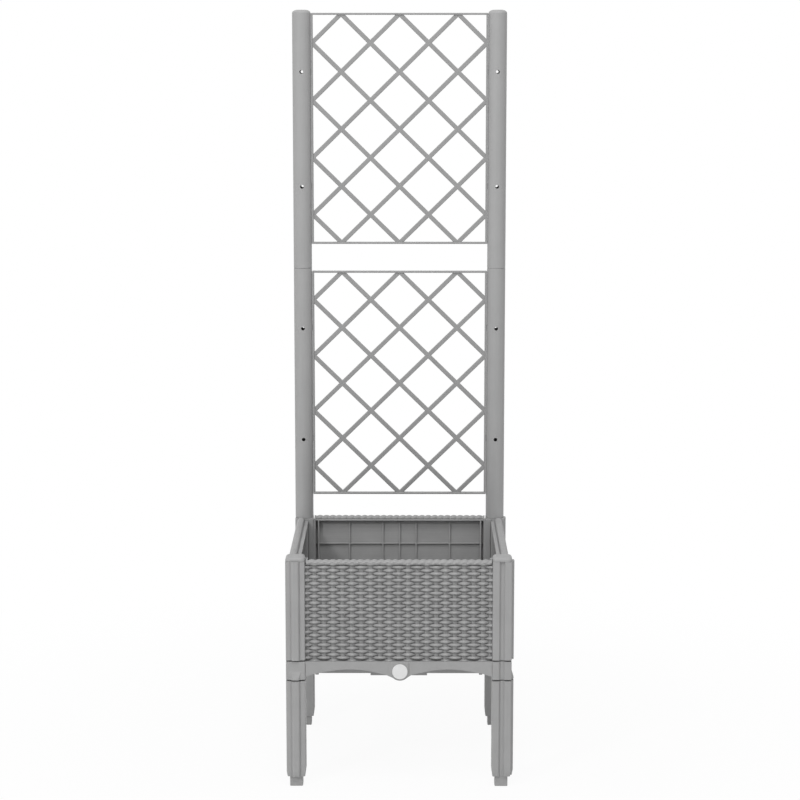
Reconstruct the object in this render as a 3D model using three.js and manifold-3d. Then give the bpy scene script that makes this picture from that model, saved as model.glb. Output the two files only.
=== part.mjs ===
// Raised square planter on four legs, with woven-look side panels, a drain plug in the
// front of its base tray and a two-panel diagonal lattice trellis on two round poles.
// Millimetres, +Z up, the front faces -Y. The origin is on the ground, under the middle
// of the bounding box.

import * as THREE from "three";
import { ConvexGeometry } from "three/addons/geometries/ConvexGeometry.js";
import { mergeVertices } from "three/addons/utils/BufferGeometryUtils.js";
import Module from "manifold-3d";

const wasm = await Module();
wasm.setup();

// ---------------------------------------------------------------- driving dimensions

const FIT = 0.3; // clearance between a piece and its seat
const PAST = 1; // how far a cutter runs past a face, and a joined root into one

// Box and columns
const BODY = 396; // width and depth over the outer faces of the corner columns
const COLUMN = 34; // side of a leg, base block and post
const COLUMN_ROUND = 2; // radius of their upright edges
const CORNER_SEGMENTS = 2;
const SOCKET = 23.4; // square bore in the top of each column
const PEG_LENGTH = 19; // square peg under each column
const PEG_CHAMFER = 1.2;
const SHADOW_GAP = 2.6; // dark joint between stacked columns
const PLINTH = 26; // side of the recessed shoulder that fills the joint

// Heights of the stacked pieces
const LEG_LENGTH = 174;
const LEG_TAPER_HEIGHT = 10;
const LEG_FOOT = 31; // side of the leg at its lower end
const LEG_FLOOR = 6; // closed end under the leg's bore
const BLOCK_HEIGHT = 32.6; // corner block of the base tray
const BLOCK_SOCKET_DEPTH = 20;
const POST_LENGTH = 176.8;
const POST_FLOOR = 5;

// Joining rib and groove on the outer faces of the columns
const RIB_BASE = 15;
const RIB_TOP = 12.6;
const RIB_PROUD = 4;
const GROOVE_MOUTH = 10.6;
const GROOVE_FLOOR = 4.4;
const GROOVE_DEPTH = 3.5;
const BLOCK_RIB_HEIGHT = 3; // full part of a base block's rib
const BLOCK_RIB_RAMP = 12; // above it the rib runs out into the block's face

// Caps of the front posts
const CAP_SKIRT = 1.6;
const CAP_DOME = 6;
const CAP_CORNER = 4; // extra corner radius at the top of the dome
const CAP_PEG = 14;
const DOME_SEGMENTS = 3; // of the caps and of the poles' tops

// Base tray
const APRON_INSET = 1.5; // apron face behind the corner blocks' faces
const APRON_WALL = 4;
const DECK_THICKNESS = 5;
const BASIN_INSET = 28; // outer face of the basin wall behind the box face
const BASIN_WALL = 4;
const BASIN_DEPTH = 28.4; // deck top to the underside of the basin floor
const BASIN_FLOOR = 3;
const SUMP_WIDTH = 100;
const SUMP_LENGTH = 70;
const SUMP_DROP = 3.8;
const RUNNER_WIDTH = 6; // stiffening runners under the basin
const RUNNER_DROP = 2.8;
const RUNNER_SPACING = 289;
const ARCH_CROWN = 14; // height of the apron at the crown of its arches
const ARCH_SPRING = 22.4; // height where an arch meets the corner flare
const MIDDLE_SPRING = 24.2; // height where it meets the apron's middle
const APRON_CORNER = 27.3; // height of the apron at the corner blocks
const CORNER_FLARE = 15; // length of that flare
const ARCH_MIDDLE = 22; // half width of the apron's middle, between the arches
const ARCH_SEGMENTS = 8;

// Drain
const DRAIN_SIDE = 2; // the drain sits this far right of the middle of the box
const DRAIN_DROP = 16.9; // its centre below the deck
const DRAIN_BORE = 18;
const BARREL = 26; // outer diameter of the tube round the bore
const BARREL_SIDES = 12;
const BOSS_ROOT = 34.8; // diameter of the rounded boss where it grows out of the apron
const BOSS_FACE = 28.4;
const BOSS_PROUD = 2;
const BOSS_NECK = 12; // half width where its round bottom meets the slopes to the arches
const BOSS_SEGMENTS = 10;
const PLUG_HEAD = 27;
const PLUG_HEAD_THICKNESS = 3.2;
const PLUG_EDGE = 0.8;
const PLUG_TAIL = 2; // how far the plug reaches into the basin
const SEAL_THICKNESS = 1.9;
const SEAL_FROM_END = 6;
const SEAL_SIDES = 4;
const SEAL_PLAY = 0.1; // round the seal, in its groove and in the bore
const DRAIN_SIDES = 16;

// Woven side panels; depths are measured inwards from the outer face of the columns
const WEAVE_CREST = 4.8; // a strand where it passes in front of an upright
const WEAVE_DIP = 8.4; // the same strand behind the next upright
const SKIN_BACK = 12.4;
const ROW_PITCH = 5.82;
const STAKES = 20; // half periods of the weave across the panel
const TOP_STRAND_DROP = 10.7; // first strand below the posts' tops
const LOWEST_STRAND = 4; // least height of the last strand over the panel's foot
const RIM_OUTER = 4;
const RIM_INNER = 17.3;
const RIM_RISE = 2.2; // top of the rim over the posts' tops
const RIM_HEIGHT = 8.6;
const SCALLOPS = 27;
const SCALLOP_DIP = 2.4;
const LIP_INNER = 26.2;
const LIP_DROP = 5.6; // top of the inner lip below the posts' tops
const LIP_THICKNESS = 2.4;
const TONGUE_OUTER = 12.8;
const TONGUE_INNER = 22;
const TONGUE_REACH = 2.7;
const PANEL_END = 0.5; // the ribs and rim stop this short of the skin's ends
const PANEL_RIB = 2.4;
const PANEL_RIB_BACK = 16.6;
const PANEL_RIB_PLACES = [-95.4, -31.6, 0, 31.6, 95.4];
const CROSS_RIB_HEIGHT = 126.5; // its middle over the panel's foot
const TAB_WIDTH = 30;
const TAB_OUTER = 14;
const TAB_INNER = 20;
const TAB_LENGTH = 4;
const TAB_PLACES = [-90, 90];
const RETAINER = 3.5; // the posts' inner flange stands this far over the panel's end

// Poles
const POLE = 34;
const POLE_WALL = 3;
const POLE_LENGTH = 475.9;
const POLE_SPIGOT = 30; // length of the upper pole's spigot
const POLE_FOOT = 22.8; // diameter of the lower pole's spigot
const POLE_SHOULDER = 2; // extra height of the cone inside a pole's lower end
const POLE_DOME = 6;
const DOME_DISC = 7; // radius of the flat on top
const HOLE_FRONT = 7;
const HOLE_BACK = 5;
const POLE_SIDES = 20;
const HOLE_SIDES = 8;

// Lattice panels
const LATTICE_BELOW = 46.5; // lower end of a pole to the centre of the bottom rail
const LATTICE_ABOVE = 7.4; // centre of the top rail to the upper end of the pole
const LATTICE_RAIL = 3.6;
const LATTICE_RAIL_DEPTH = 9;
const LATTICE_GAP = 0.4; // between a side rail and the pole
const SLAT = 8;
const SLAT_DEPTH = 5;
const CELLS_WIDE = 6; // half diamonds across
const CELLS_HIGH = 8;
const TENON_HEIGHT = 11.4;
const TENON_DEPTH = 6.4;
const TENON_REACH = 4.3;
const MORTISE_ROOT = 2; // how far a mortise is cut on past the pole's wall

// ---------------------------------------------------------------- worked out from them

const HALF = BODY / 2;
const CORNER = HALF - COLUMN / 2; // centre of each column from the middle of the box
const PEG = SOCKET - 2 * FIT;
const LEG_FROM = PEG_LENGTH;
const BLOCK_FROM = LEG_FROM + LEG_LENGTH + SHADOW_GAP;
const DECK = BLOCK_FROM + BLOCK_HEIGHT;
const POST_FROM = DECK + SHADOW_GAP;
const POST_TOP = POST_FROM + POST_LENGTH;
const PANEL_FROM = DECK + FIT;
const POST_TOP_HEIGHT = POST_TOP - PANEL_FROM; // the posts' tops over the panels' feet
const RIM_TOP = POST_TOP_HEIGHT + RIM_RISE;
const RIM_LOW = RIM_TOP - RIM_HEIGHT;
const LIP_TOP = POST_TOP_HEIGHT - LIP_DROP;
const TOP_STRAND = POST_TOP_HEIGHT - TOP_STRAND_DROP;
const WEAVE_ROWS = 1 + Math.floor((TOP_STRAND - LOWEST_STRAND) / ROW_PITCH);
const OPEN_HALF = HALF - COLUMN; // half the distance between two columns
const POLE_FROM = POST_TOP + FIT;
const UPPER_POLE_FROM = POLE_FROM + POLE_LENGTH + FIT;
const LATTICE_HEIGHT = POLE_LENGTH - LATTICE_BELOW - LATTICE_ABOVE; // between rail centres
const DRAIN_Z = DECK - DRAIN_DROP;
const SIDES = [
  { name: "front", turn: 0 },
  { name: "right", turn: Math.PI / 2 },
  { name: "rear", turn: Math.PI },
  { name: "left", turn: -Math.PI / 2 },
];
const CORNERS = [
  { name: "front_left", sx: -1, sy: -1 },
  { name: "front_right", sx: 1, sy: -1 },
  { name: "rear_left", sx: -1, sy: 1 },
  { name: "rear_right", sx: 1, sy: 1 },
];

// ---------------------------------------------------------------- materials

const plastic = (color, roughness) => () =>
  new THREE.MeshStandardMaterial({ color, roughness, metalness: 0 });
const greyPlastic = plastic(0xa2a2a2, 0.55);
const polePlastic = plastic(0xa3a3a3, 0.5);
const whitePlastic = plastic(0xdfdfdf, 0.45);
const blackRubber = plastic(0x1d1d1e, 0.8);

// ---------------------------------------------------------------- solids

/** Closed three.js geometry to a solid that can be cut and joined. */
function solid(geometry) {
  const bare = geometry.index ? geometry.toNonIndexed() : geometry.clone();
  for (const name of Object.keys(bare.attributes)) {
    if (name !== "position") bare.deleteAttribute(name);
  }
  const merged = mergeVertices(bare, 1e-4);
  const triVerts = [];
  const index = merged.index.array;
  for (let i = 0; i < index.length; i += 3) {
    const [a, b, c] = [index[i], index[i + 1], index[i + 2]];
    if (a !== b && b !== c && c !== a) triVerts.push(a, b, c);
  }
  return new wasm.Manifold(new wasm.Mesh({
    numProp: 3,
    vertProperties: new Float32Array(merged.attributes.position.array),
    triVerts: new Uint32Array(triVerts),
  }));
}

/** A solid back to a named mesh with its own material. */
function piece(name, body, material) {
  const { vertProperties, triVerts } = body.getMesh();
  const geometry = new THREE.BufferGeometry();
  geometry.setAttribute("position", new THREE.BufferAttribute(vertProperties, 3));
  geometry.setIndex(new THREE.BufferAttribute(triVerts, 1));
  geometry.computeVertexNormals();
  const mesh = new THREE.Mesh(geometry, material());
  mesh.name = name;
  return mesh;
}

const join = (...bodies) => bodies.reduce((sum, body) => sum.add(body));
const cut = (body, ...tools) => tools.reduce((rest, tool) => rest.subtract(tool), body);

/** Box between two corners. */
function block([x0, y0, z0], [x1, y1, z1]) {
  const geometry = new THREE.BoxGeometry(x1 - x0, y1 - y0, z1 - z0);
  return solid(geometry.translate((x0 + x1) / 2, (y0 + y1) / 2, (z0 + z1) / 2));
}

/** Square with rounded corners, centred on the origin. */
function roundedSquare(side, radius) {
  const h = side / 2;
  const shape = new THREE.Shape();
  shape.moveTo(-h + radius, -h);
  shape.lineTo(h - radius, -h);
  shape.absarc(h - radius, -h + radius, radius, -Math.PI / 2, 0);
  shape.lineTo(h, h - radius);
  shape.absarc(h - radius, h - radius, radius, 0, Math.PI / 2);
  shape.lineTo(-h + radius, h);
  shape.absarc(-h + radius, h - radius, radius, Math.PI / 2, Math.PI);
  shape.lineTo(-h, -h + radius);
  shape.absarc(-h + radius, -h + radius, radius, Math.PI, 1.5 * Math.PI);
  return shape;
}

const polygon = (points) => new THREE.Shape(points.map(([x, y]) => new THREE.Vector2(x, y)));

/** Upright prism of a plan shape; its lower end may be scaled about the axis. */
function prism(shape, z0, z1, lowerScale = 1) {
  const depth = z1 - z0;
  const settings = { depth, bevelEnabled: false, curveSegments: CORNER_SEGMENTS };
  const geometry = new THREE.ExtrudeGeometry(shape, settings);
  const position = geometry.attributes.position;
  for (let i = 0; i < position.count; i++) {
    const scale = position.getZ(i) < depth / 2 ? lowerScale : 1;
    position.setXY(i, position.getX(i) * scale, position.getY(i) * scale);
  }
  return solid(geometry.translate(0, 0, z0));
}

/** Prism of an elevation shape (x, z), running inwards from depth y0 to y1. */
function elevation(shape, y0, y1, curveSegments = 1) {
  const depth = y1 - y0;
  const geometry = new THREE.ExtrudeGeometry(shape, { depth, bevelEnabled: false, curveSegments });
  return solid(geometry.rotateX(Math.PI / 2).translate(0, y1, 0));
}

/** Round bar along Y between two depths. */
function barAlongY(x, z, radius, y0, y1, sides) {
  const geometry = new THREE.CylinderGeometry(radius, radius, y1 - y0, sides);
  return solid(geometry.translate(x, (y0 + y1) / 2, z));
}

// ---------------------------------------------------------------- columns

/** Square column that follows (side, z) points, revolved on four flats. */
function squareStack(points) {
  const profile = points.map(([side, z]) => new THREE.Vector2(side * Math.SQRT1_2, z));
  return solid(new THREE.LatheGeometry(profile, 4, Math.PI / 4).rotateX(Math.PI / 2));
}

/** Square bore from height z0 upwards, past z1. */
const squareBore = (z0, z1) => squareStack([
  [0, z0], [SOCKET, z0], [SOCKET, z1 + PAST], [0, z1 + PAST],
]);

/** Outline of a square peg with a chamfered end that hangs down from height z. */
const pegOutline = (z, length) =>
  [[0, z - length], [PEG - 2 * PEG_CHAMFER, z - length], [PEG, z - length + PEG_CHAMFER], [PEG, z]];

/** Trapezium that stands out of the face y = -COLUMN / 2 by "proud", or into it. */
function faceTrapezium(base, top, proud) {
  const face = -COLUMN / 2;
  const root = face + (proud > 0 ? PAST : -PAST);
  return polygon([
    [-base / 2, root], [-base / 2, face], [-top / 2, face - proud], [top / 2, face - proud],
    [base / 2, face], [base / 2, root],
  ]);
}

/** Turn that brings a column's front face to the face that carries its rib or groove. */
const faceTurn = (sx, sy, onSide) => (onSide ? (sx > 0 ? 90 : -90) : sy < 0 ? 0 : 180);

/**
 * Plain column for one corner, about its own axis. Columns on the left have the rib on
 * their front or back face and the groove on their outer side, those on the right the
 * other way round, so that boxes can be pushed together side by side.
 */
function column({ sx, sy }, z0, z1, ribTop = z1, lowerScale = 1) {
  const ribOnSide = sx > 0;
  const ribShape = faceTrapezium(RIB_BASE, RIB_TOP, RIB_PROUD);
  const grooveShape = faceTrapezium(GROOVE_MOUTH, GROOVE_FLOOR, -GROOVE_DEPTH);
  const rib = prism(ribShape, z0, ribTop, lowerScale).rotate([0, 0, faceTurn(sx, sy, ribOnSide)]);
  const groove = prism(grooveShape, z0 - PAST, z1 + PAST).rotate([0, 0, faceTurn(sx, sy, !ribOnSide)]);
  return cut(prism(roundedSquare(COLUMN, COLUMN_ROUND), z0, z1, lowerScale).add(rib), groove);
}

function leg(corner) {
  const top = LEG_FROM + LEG_LENGTH;
  const taperTop = LEG_FROM + LEG_TAPER_HEIGHT;
  const shaft = column(corner, taperTop, top);
  const foot = column(corner, LEG_FROM, taperTop, taperTop, LEG_FOOT / COLUMN);
  const root = LEG_FROM + PAST;
  const peg = squareStack([...pegOutline(LEG_FROM, PEG_LENGTH), [PEG, root], [0, root]]);
  return cut(join(shaft, foot, peg), squareBore(LEG_FROM + LEG_FLOOR, top));
}

/** Recessed shoulder and peg that join a column to the socket below it. */
function lowerJoint(z) {
  const shoulder = z - SHADOW_GAP + FIT;
  return squareStack([
    ...pegOutline(shoulder, PEG_LENGTH - SHADOW_GAP),
    [PLINTH, shoulder], [PLINTH, z + PAST], [0, z + PAST],
  ]);
}

/** Corner block of the base tray, with a rib that fades out below its top. */
function baseBlock(corner) {
  const ribTop = BLOCK_FROM + BLOCK_RIB_HEIGHT;
  const body = column(corner, BLOCK_FROM, DECK, ribTop);
  const wedge = new THREE.Shape();
  wedge.moveTo(0, ribTop);
  wedge.lineTo(RIB_PROUD, ribTop);
  wedge.lineTo(0, ribTop + BLOCK_RIB_RAMP);
  const geometry = new THREE.ExtrudeGeometry(wedge, { depth: RIB_TOP, bevelEnabled: false });
  geometry.rotateX(Math.PI / 2).rotateZ(-Math.PI / 2).translate(RIB_TOP / 2, -COLUMN / 2, 0);
  const ramp = solid(geometry).rotate([0, 0, faceTurn(corner.sx, corner.sy, corner.sx > 0)]);
  return join(body, ramp, lowerJoint(BLOCK_FROM));
}

/** Upper post: slots for the ends of two panels, and a flange that holds each from inside. */
function post(corner) {
  const { sx, sy } = corner;
  const face = COLUMN / 2;
  const slotFrom = TONGUE_OUTER - FIT - face;
  const slotTo = TONGUE_INNER + FIT - face;
  const flangeFrom = LIP_INNER + FIT - face;
  const slotDepth = TONGUE_REACH + FIT;
  const z0 = POST_FROM;
  // Drawn for the front left corner, where both panels lie towards +X and +Y.
  const along = (y0, y1, x0, x1, low, high) => [
    block([x0, y0, low], [x1, y1, high]),
    block([y0, x0, low], [y1, x1, high]),
  ];
  const slots = along(
    slotFrom, slotTo, face - slotDepth, face + PAST, z0 - PAST, POST_TOP + PAST,
  );
  const flanges = along(flangeFrom, face, face - PAST, face + RETAINER, z0, POST_TOP);
  const place = (body) => body.scale([-sx, -sy, 1]);
  const shell = join(column(corner, z0, POST_TOP), ...flanges.map(place), lowerJoint(z0));
  return cut(shell, ...slots.map(place), squareBore(z0 + POST_FLOOR, POST_TOP));
}

/** Domed cap with a peg that drops into the bore of a front post. */
function cap() {
  const from = POST_TOP + FIT;
  const layers = [{ z: from, side: COLUMN, radius: COLUMN_ROUND }];
  for (let i = 0; i <= DOME_SEGMENTS; i++) {
    const angle = (i / DOME_SEGMENTS) * (Math.PI / 2);
    layers.push({
      z: from + CAP_SKIRT + CAP_DOME * Math.sin(angle),
      side: COLUMN - 2 * CAP_DOME * (1 - Math.cos(angle)),
      radius: COLUMN_ROUND + CAP_CORNER * Math.sin(angle),
    });
  }
  const points = layers.flatMap(({ z, side, radius }) =>
    roundedSquare(side, radius).getPoints(CORNER_SEGMENTS).map(({ x, y }) => new THREE.Vector3(x, y, z)));
  const root = from + CAP_SKIRT / 2;
  const peg = squareStack([...pegOutline(root, CAP_PEG), [0, root]]);
  return solid(new ConvexGeometry(points)).add(peg);
}

// ---------------------------------------------------------------- base tray

/** Lower edge of the apron, from the left column to the right one, as depths below the deck. */
function apronEdge() {
  const points = [[-OPEN_HALF - PAST, APRON_CORNER], [-OPEN_HALF, APRON_CORNER]];
  const spring = OPEN_HALF - CORNER_FLARE;
  const arch = (from, to) => {
    for (let i = 0; i <= ARCH_SEGMENTS; i++) {
      const share = i / ARCH_SEGMENTS;
      const x = from + (to - from) * share;
      const crown = (ARCH_MIDDLE + spring) / 2;
      const end = Math.abs(x) < crown ? MIDDLE_SPRING : ARCH_SPRING;
      points.push([x, end + (ARCH_CROWN - end) * Math.sin(share * Math.PI)]);
    }
  };
  arch(-spring, -ARCH_MIDDLE);
  arch(ARCH_MIDDLE, spring);
  points.push([OPEN_HALF, APRON_CORNER], [OPEN_HALF + PAST, APRON_CORNER]);
  return points;
}

function apron() {
  const edge = apronEdge().map(([x, drop]) => [x, DECK - drop]);
  const outline = [...edge, [OPEN_HALF + PAST, DECK], [-OPEN_HALF - PAST, DECK]];
  return elevation(polygon(outline), APRON_INSET - HALF, APRON_INSET + APRON_WALL - HALF);
}

/** Points of a half circle round the drain, from left to right below its centre. */
function drainArc(radius) {
  return Array.from({ length: BOSS_SEGMENTS + 1 }, (_, i) => {
    const angle = Math.PI * (1 + i / BOSS_SEGMENTS);
    return [DRAIN_SIDE + radius * Math.cos(angle), DRAIN_Z + radius * Math.sin(angle)];
  });
}

/** Round middle of the front apron, which slopes into the arches on both sides. */
function drainPlate() {
  const left = DRAIN_SIDE - ARCH_MIDDLE;
  const right = DRAIN_SIDE + ARCH_MIDDLE;
  const round = drainArc(BOSS_ROOT / 2).filter(([x]) => Math.abs(x - DRAIN_SIDE) <= BOSS_NECK);
  const outline = [
    [left, DECK], [left, DECK - MIDDLE_SPRING], ...round, [right, DECK - MIDDLE_SPRING], [right, DECK],
  ];
  return elevation(polygon(outline), APRON_INSET - HALF, APRON_INSET + APRON_WALL - HALF);
}

/** Tapered boss round the drain. */
function drainBoss() {
  const ring = (diameter, y) => [
    ...drainArc(diameter / 2), [DRAIN_SIDE - diameter / 2, DECK], [DRAIN_SIDE + diameter / 2, DECK],
  ].map(([x, z]) => new THREE.Vector3(x, y, z));
  const face = APRON_INSET - HALF;
  return solid(new ConvexGeometry([
    ...ring(BOSS_FACE, face - BOSS_PROUD), ...ring(BOSS_ROOT, face), ...ring(BOSS_ROOT, face + PAST),
  ]));
}

/** Slots in the deck for the tabs under one panel, drawn for the front. */
function tabSlots() {
  return TAB_PLACES.map((x) => block(
    [x - TAB_WIDTH / 2 - FIT, TAB_OUTER - FIT - HALF, DECK - TAB_LENGTH],
    [x + TAB_WIDTH / 2 + FIT, TAB_INNER + FIT - HALF, DECK + PAST],
  ));
}

/** One moulding: deck ring, aprons, corner blocks, basin with its sump, and the drain. */
function baseTray() {
  const turned = (body, turn) => body.rotate([0, 0, THREE.MathUtils.radToDeg(turn)]);
  const rim = HALF - APRON_INSET;
  const outer = HALF - BASIN_INSET;
  const inner = outer - BASIN_WALL;
  const basinFrom = DECK - BASIN_DEPTH;
  const boreY = [-HALF - BOSS_PROUD - PAST, -inner + PAST];

  const deck = block([-rim, -rim, DECK - DECK_THICKNESS], [rim, rim, DECK]);
  const basin = block([-outer, -outer, basinFrom], [outer, outer, DECK]);
  const sumpOuter = block(
    [-SUMP_WIDTH / 2, -outer, basinFrom - SUMP_DROP],
    [SUMP_WIDTH / 2, -outer + SUMP_LENGTH, DECK - PAST],
  );
  const runners = [-1, 1].map((side) => block(
    [(side * RUNNER_SPACING) / 2 - RUNNER_WIDTH / 2, -outer, basinFrom - RUNNER_DROP],
    [(side * RUNNER_SPACING) / 2 + RUNNER_WIDTH / 2, outer, basinFrom + PAST],
  ));
  const barrelY = [APRON_INSET + PAST - HALF, PAST - outer];
  const barrel = barAlongY(DRAIN_SIDE, DRAIN_Z, BARREL / 2, ...barrelY, BARREL_SIDES);

  const blocks = CORNERS.map((corner) =>
    baseBlock(corner).translate([corner.sx * CORNER, corner.sy * CORNER, 0]));
  const sockets = CORNERS.map(({ sx, sy }) =>
    squareBore(DECK - BLOCK_SOCKET_DEPTH, DECK).translate([sx * CORNER, sy * CORNER, 0]));
  const corners = CORNERS.map(({ sx, sy }) => {
    const near = OPEN_HALF;
    const far = HALF + PAST;
    const xs = [sx * near, sx * far].sort((a, b) => a - b);
    const ys = [sy * near, sy * far].sort((a, b) => a - b);
    return block([xs[0], ys[0], DECK - DECK_THICKNESS - PAST], [xs[1], ys[1], DECK + PAST]);
  });
  const cavity = block([-inner, -inner, basinFrom + BASIN_FLOOR], [inner, inner, DECK + PAST]);
  const sump = block(
    [BASIN_WALL - SUMP_WIDTH / 2, -inner, basinFrom - SUMP_DROP + BASIN_FLOOR],
    [SUMP_WIDTH / 2 - BASIN_WALL, -inner + SUMP_LENGTH - 2 * BASIN_WALL, DECK],
  );
  const bore = barAlongY(DRAIN_SIDE, DRAIN_Z, DRAIN_BORE / 2, ...boreY, DRAIN_SIDES);

  const ring = cut(deck, ...corners);
  const shell = join(ring, basin, sumpOuter, ...runners, ...SIDES.map(({ turn }) => turned(apron(), turn)));
  return cut(
    join(shell, drainPlate(), drainBoss(), barrel, ...blocks),
    cavity, sump, bore, ...sockets,
    ...SIDES.flatMap(({ turn }) => tabSlots().map((slot) => turned(slot, turn))),
  );
}

/** Drain plug along Y: a thin round head, a shank and a groove for its seal. */
function plugProfile() {
  const face = APRON_INSET - BOSS_PROUD - HALF;
  const headBack = face - FIT;
  const front = headBack - PLUG_HEAD_THICKNESS;
  const tail = BASIN_INSET + BASIN_WALL + PLUG_TAIL - HALF;
  const shank = DRAIN_BORE / 2 - FIT;
  const grooveFloor = DRAIN_BORE / 2 - SEAL_THICKNESS - 2 * SEAL_PLAY;
  const groove = tail - SEAL_FROM_END;
  const half = SEAL_THICKNESS / 2 + SEAL_PLAY;
  return { headBack, front, tail, shank, grooveFloor, groove, half };
}

/** Revolve (radius, y) points round the drain's axis. */
function revolveAlongDrain(points, sides) {
  const profile = points.map(([radius, y]) => new THREE.Vector2(radius, y));
  return solid(new THREE.LatheGeometry(profile, sides).translate(DRAIN_SIDE, 0, DRAIN_Z));
}

function drainPlug() {
  const p = plugProfile();
  const head = PLUG_HEAD / 2;
  return revolveAlongDrain([
    [0, p.front], [head - PLUG_EDGE, p.front], [head, p.front + PLUG_EDGE], [head, p.headBack],
    [p.shank, p.headBack], [p.shank, p.groove - p.half], [p.grooveFloor, p.groove - p.half],
    [p.grooveFloor, p.groove + p.half], [p.shank, p.groove + p.half], [p.shank, p.tail - PLUG_EDGE],
    [p.shank - PLUG_EDGE, p.tail], [0, p.tail],
  ], DRAIN_SIDES);
}

function drainSeal() {
  const p = plugProfile();
  const radius = SEAL_THICKNESS / 2;
  const middle = p.grooveFloor + SEAL_PLAY + radius;
  const ring = Array.from({ length: SEAL_SIDES + 1 }, (_, i) => {
    const angle = (2 * Math.PI * (i % SEAL_SIDES)) / SEAL_SIDES;
    return [middle + radius * Math.cos(angle), p.groove + radius * Math.sin(angle)];
  });
  return revolveAlongDrain(ring, DRAIN_SIDES);
}

// ---------------------------------------------------------------- woven panel

/**
 * Front skin as a closed slab. Its face has one row of points for each strand: crests and
 * dips take turns along a strand, and from one strand to the next, as over and under do.
 */
function wovenSkin() {
  const isCrest = (row, i) => (row + i) % 2 === 1;
  const heights = [RIM_LOW + PAST];
  for (let k = 0; k < WEAVE_ROWS; k++) heights.push(TOP_STRAND - k * ROW_PITCH);
  heights.push(0);

  const vertices = [];
  const faces = [];
  const add = (x, y, z) => vertices.push([x, y, z]) - 1;
  const ids = heights.map((z, row) => Array.from({ length: STAKES + 1 }, (_, i) => {
    const onStrand = row > 0 && row <= WEAVE_ROWS;
    const depth = onStrand && isCrest(row, i) ? WEAVE_CREST : WEAVE_DIP;
    return add(-OPEN_HALF + (2 * OPEN_HALF * i) / STAKES, depth, z);
  }));
  // Each cell is folded along its two dips, so that every crest is a pointed lens.
  for (let row = 0; row + 1 < ids.length; row++) {
    for (let i = 0; i < STAKES; i++) {
      const [a, b, c, d] = [ids[row][i], ids[row][i + 1], ids[row + 1][i + 1], ids[row + 1][i]];
      if (isCrest(row, i)) faces.push([a, d, b], [b, d, c]);
      else faces.push([a, d, c], [a, c, b]);
    }
  }

  const left = ids.map((row) => row[0]);
  const right = ids.map((row) => row.at(-1));
  const [tl, tr] = [-OPEN_HALF, OPEN_HALF].map((x) => add(x, SKIN_BACK, heights[0]));
  const [bl, br] = [-OPEN_HALF, OPEN_HALF].map((x) => add(x, SKIN_BACK, 0));
  const fan = (hub, rim) => {
    for (let i = 0; i + 1 < rim.length; i++) faces.push([hub, rim[i], rim[i + 1]]);
  };
  fan(tl, [...ids[0], tr]);
  fan(br, [...ids.at(-1)].reverse().concat(bl));
  fan(bl, [...left].reverse().concat(tl));
  fan(tr, [...right, br]);
  faces.push([tl, tr, br], [tl, br, bl]);

  const geometry = new THREE.BufferGeometry();
  geometry.setAttribute("position", new THREE.Float32BufferAttribute(vertices.flat(), 3));
  geometry.setIndex(faces.flat());
  return solid(geometry);
}

/** Rope-like rim along the top: a row of scallops. */
function ropeRim() {
  const pitch = (2 * OPEN_HALF) / SCALLOPS;
  const shape = new THREE.Shape();
  shape.moveTo(-OPEN_HALF, RIM_LOW);
  shape.lineTo(OPEN_HALF, RIM_LOW);
  for (let i = 0; i < SCALLOPS; i++) {
    const x = OPEN_HALF - i * pitch;
    shape.lineTo(x, RIM_TOP - SCALLOP_DIP);
    shape.lineTo(x - pitch / 2, RIM_TOP);
  }
  shape.lineTo(-OPEN_HALF, RIM_TOP - SCALLOP_DIP);
  return elevation(shape, RIM_OUTER, RIM_INNER);
}

/** One side panel, drawn upright with its outer face towards -Y and its foot at z = 0. */
function panel() {
  const half = OPEN_HALF - PANEL_END;
  const reach = OPEN_HALF + TONGUE_REACH;
  const root = SKIN_BACK - PAST; // the ribs grow out of the skin
  const flangeFrom = LIP_TOP - LIP_THICKNESS;
  const across = (y0, y1, z0, z1) => block([-half, y0, z0], [half, y1, z1]);
  const lip = across(root, LIP_INNER, flangeFrom, LIP_TOP);
  const foot = across(root, TONGUE_INNER, 0, PANEL_RIB);
  const crossRib = across(
    root, PANEL_RIB_BACK, CROSS_RIB_HEIGHT - PANEL_RIB / 2, CROSS_RIB_HEIGHT + PANEL_RIB / 2,
  );
  const ribs = PANEL_RIB_PLACES.map((x) => block(
    [x - PANEL_RIB / 2, root, PAST], [x + PANEL_RIB / 2, PANEL_RIB_BACK, flangeFrom + PAST],
  ));
  const ends = [-1, 1].flatMap((side) => {
    const wall = [side * (half - PANEL_RIB), side * half].sort((a, b) => a - b);
    const tongue = [side * (half - PANEL_RIB), side * reach].sort((a, b) => a - b);
    return [
      block([wall[0], root, 0], [wall[1], TONGUE_INNER, flangeFrom + PAST]),
      block([tongue[0], TONGUE_OUTER, 0], [tongue[1], TONGUE_INNER, flangeFrom + PAST]),
    ];
  });
  const tabs = TAB_PLACES.map((x) => block(
    [x - TAB_WIDTH / 2, TAB_OUTER, -TAB_LENGTH], [x + TAB_WIDTH / 2, TAB_INNER, PAST],
  ));
  return join(wovenSkin(), ropeRim(), lip, foot, crossRib, ...ends, ...ribs, ...tabs);
}

// ---------------------------------------------------------------- trellis

/** Heights of a lattice's fixing points over the lower end of its pole. */
const fixingHeights = [0.25, 0.75].map((share) => LATTICE_BELOW + share * LATTICE_HEIGHT);

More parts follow.
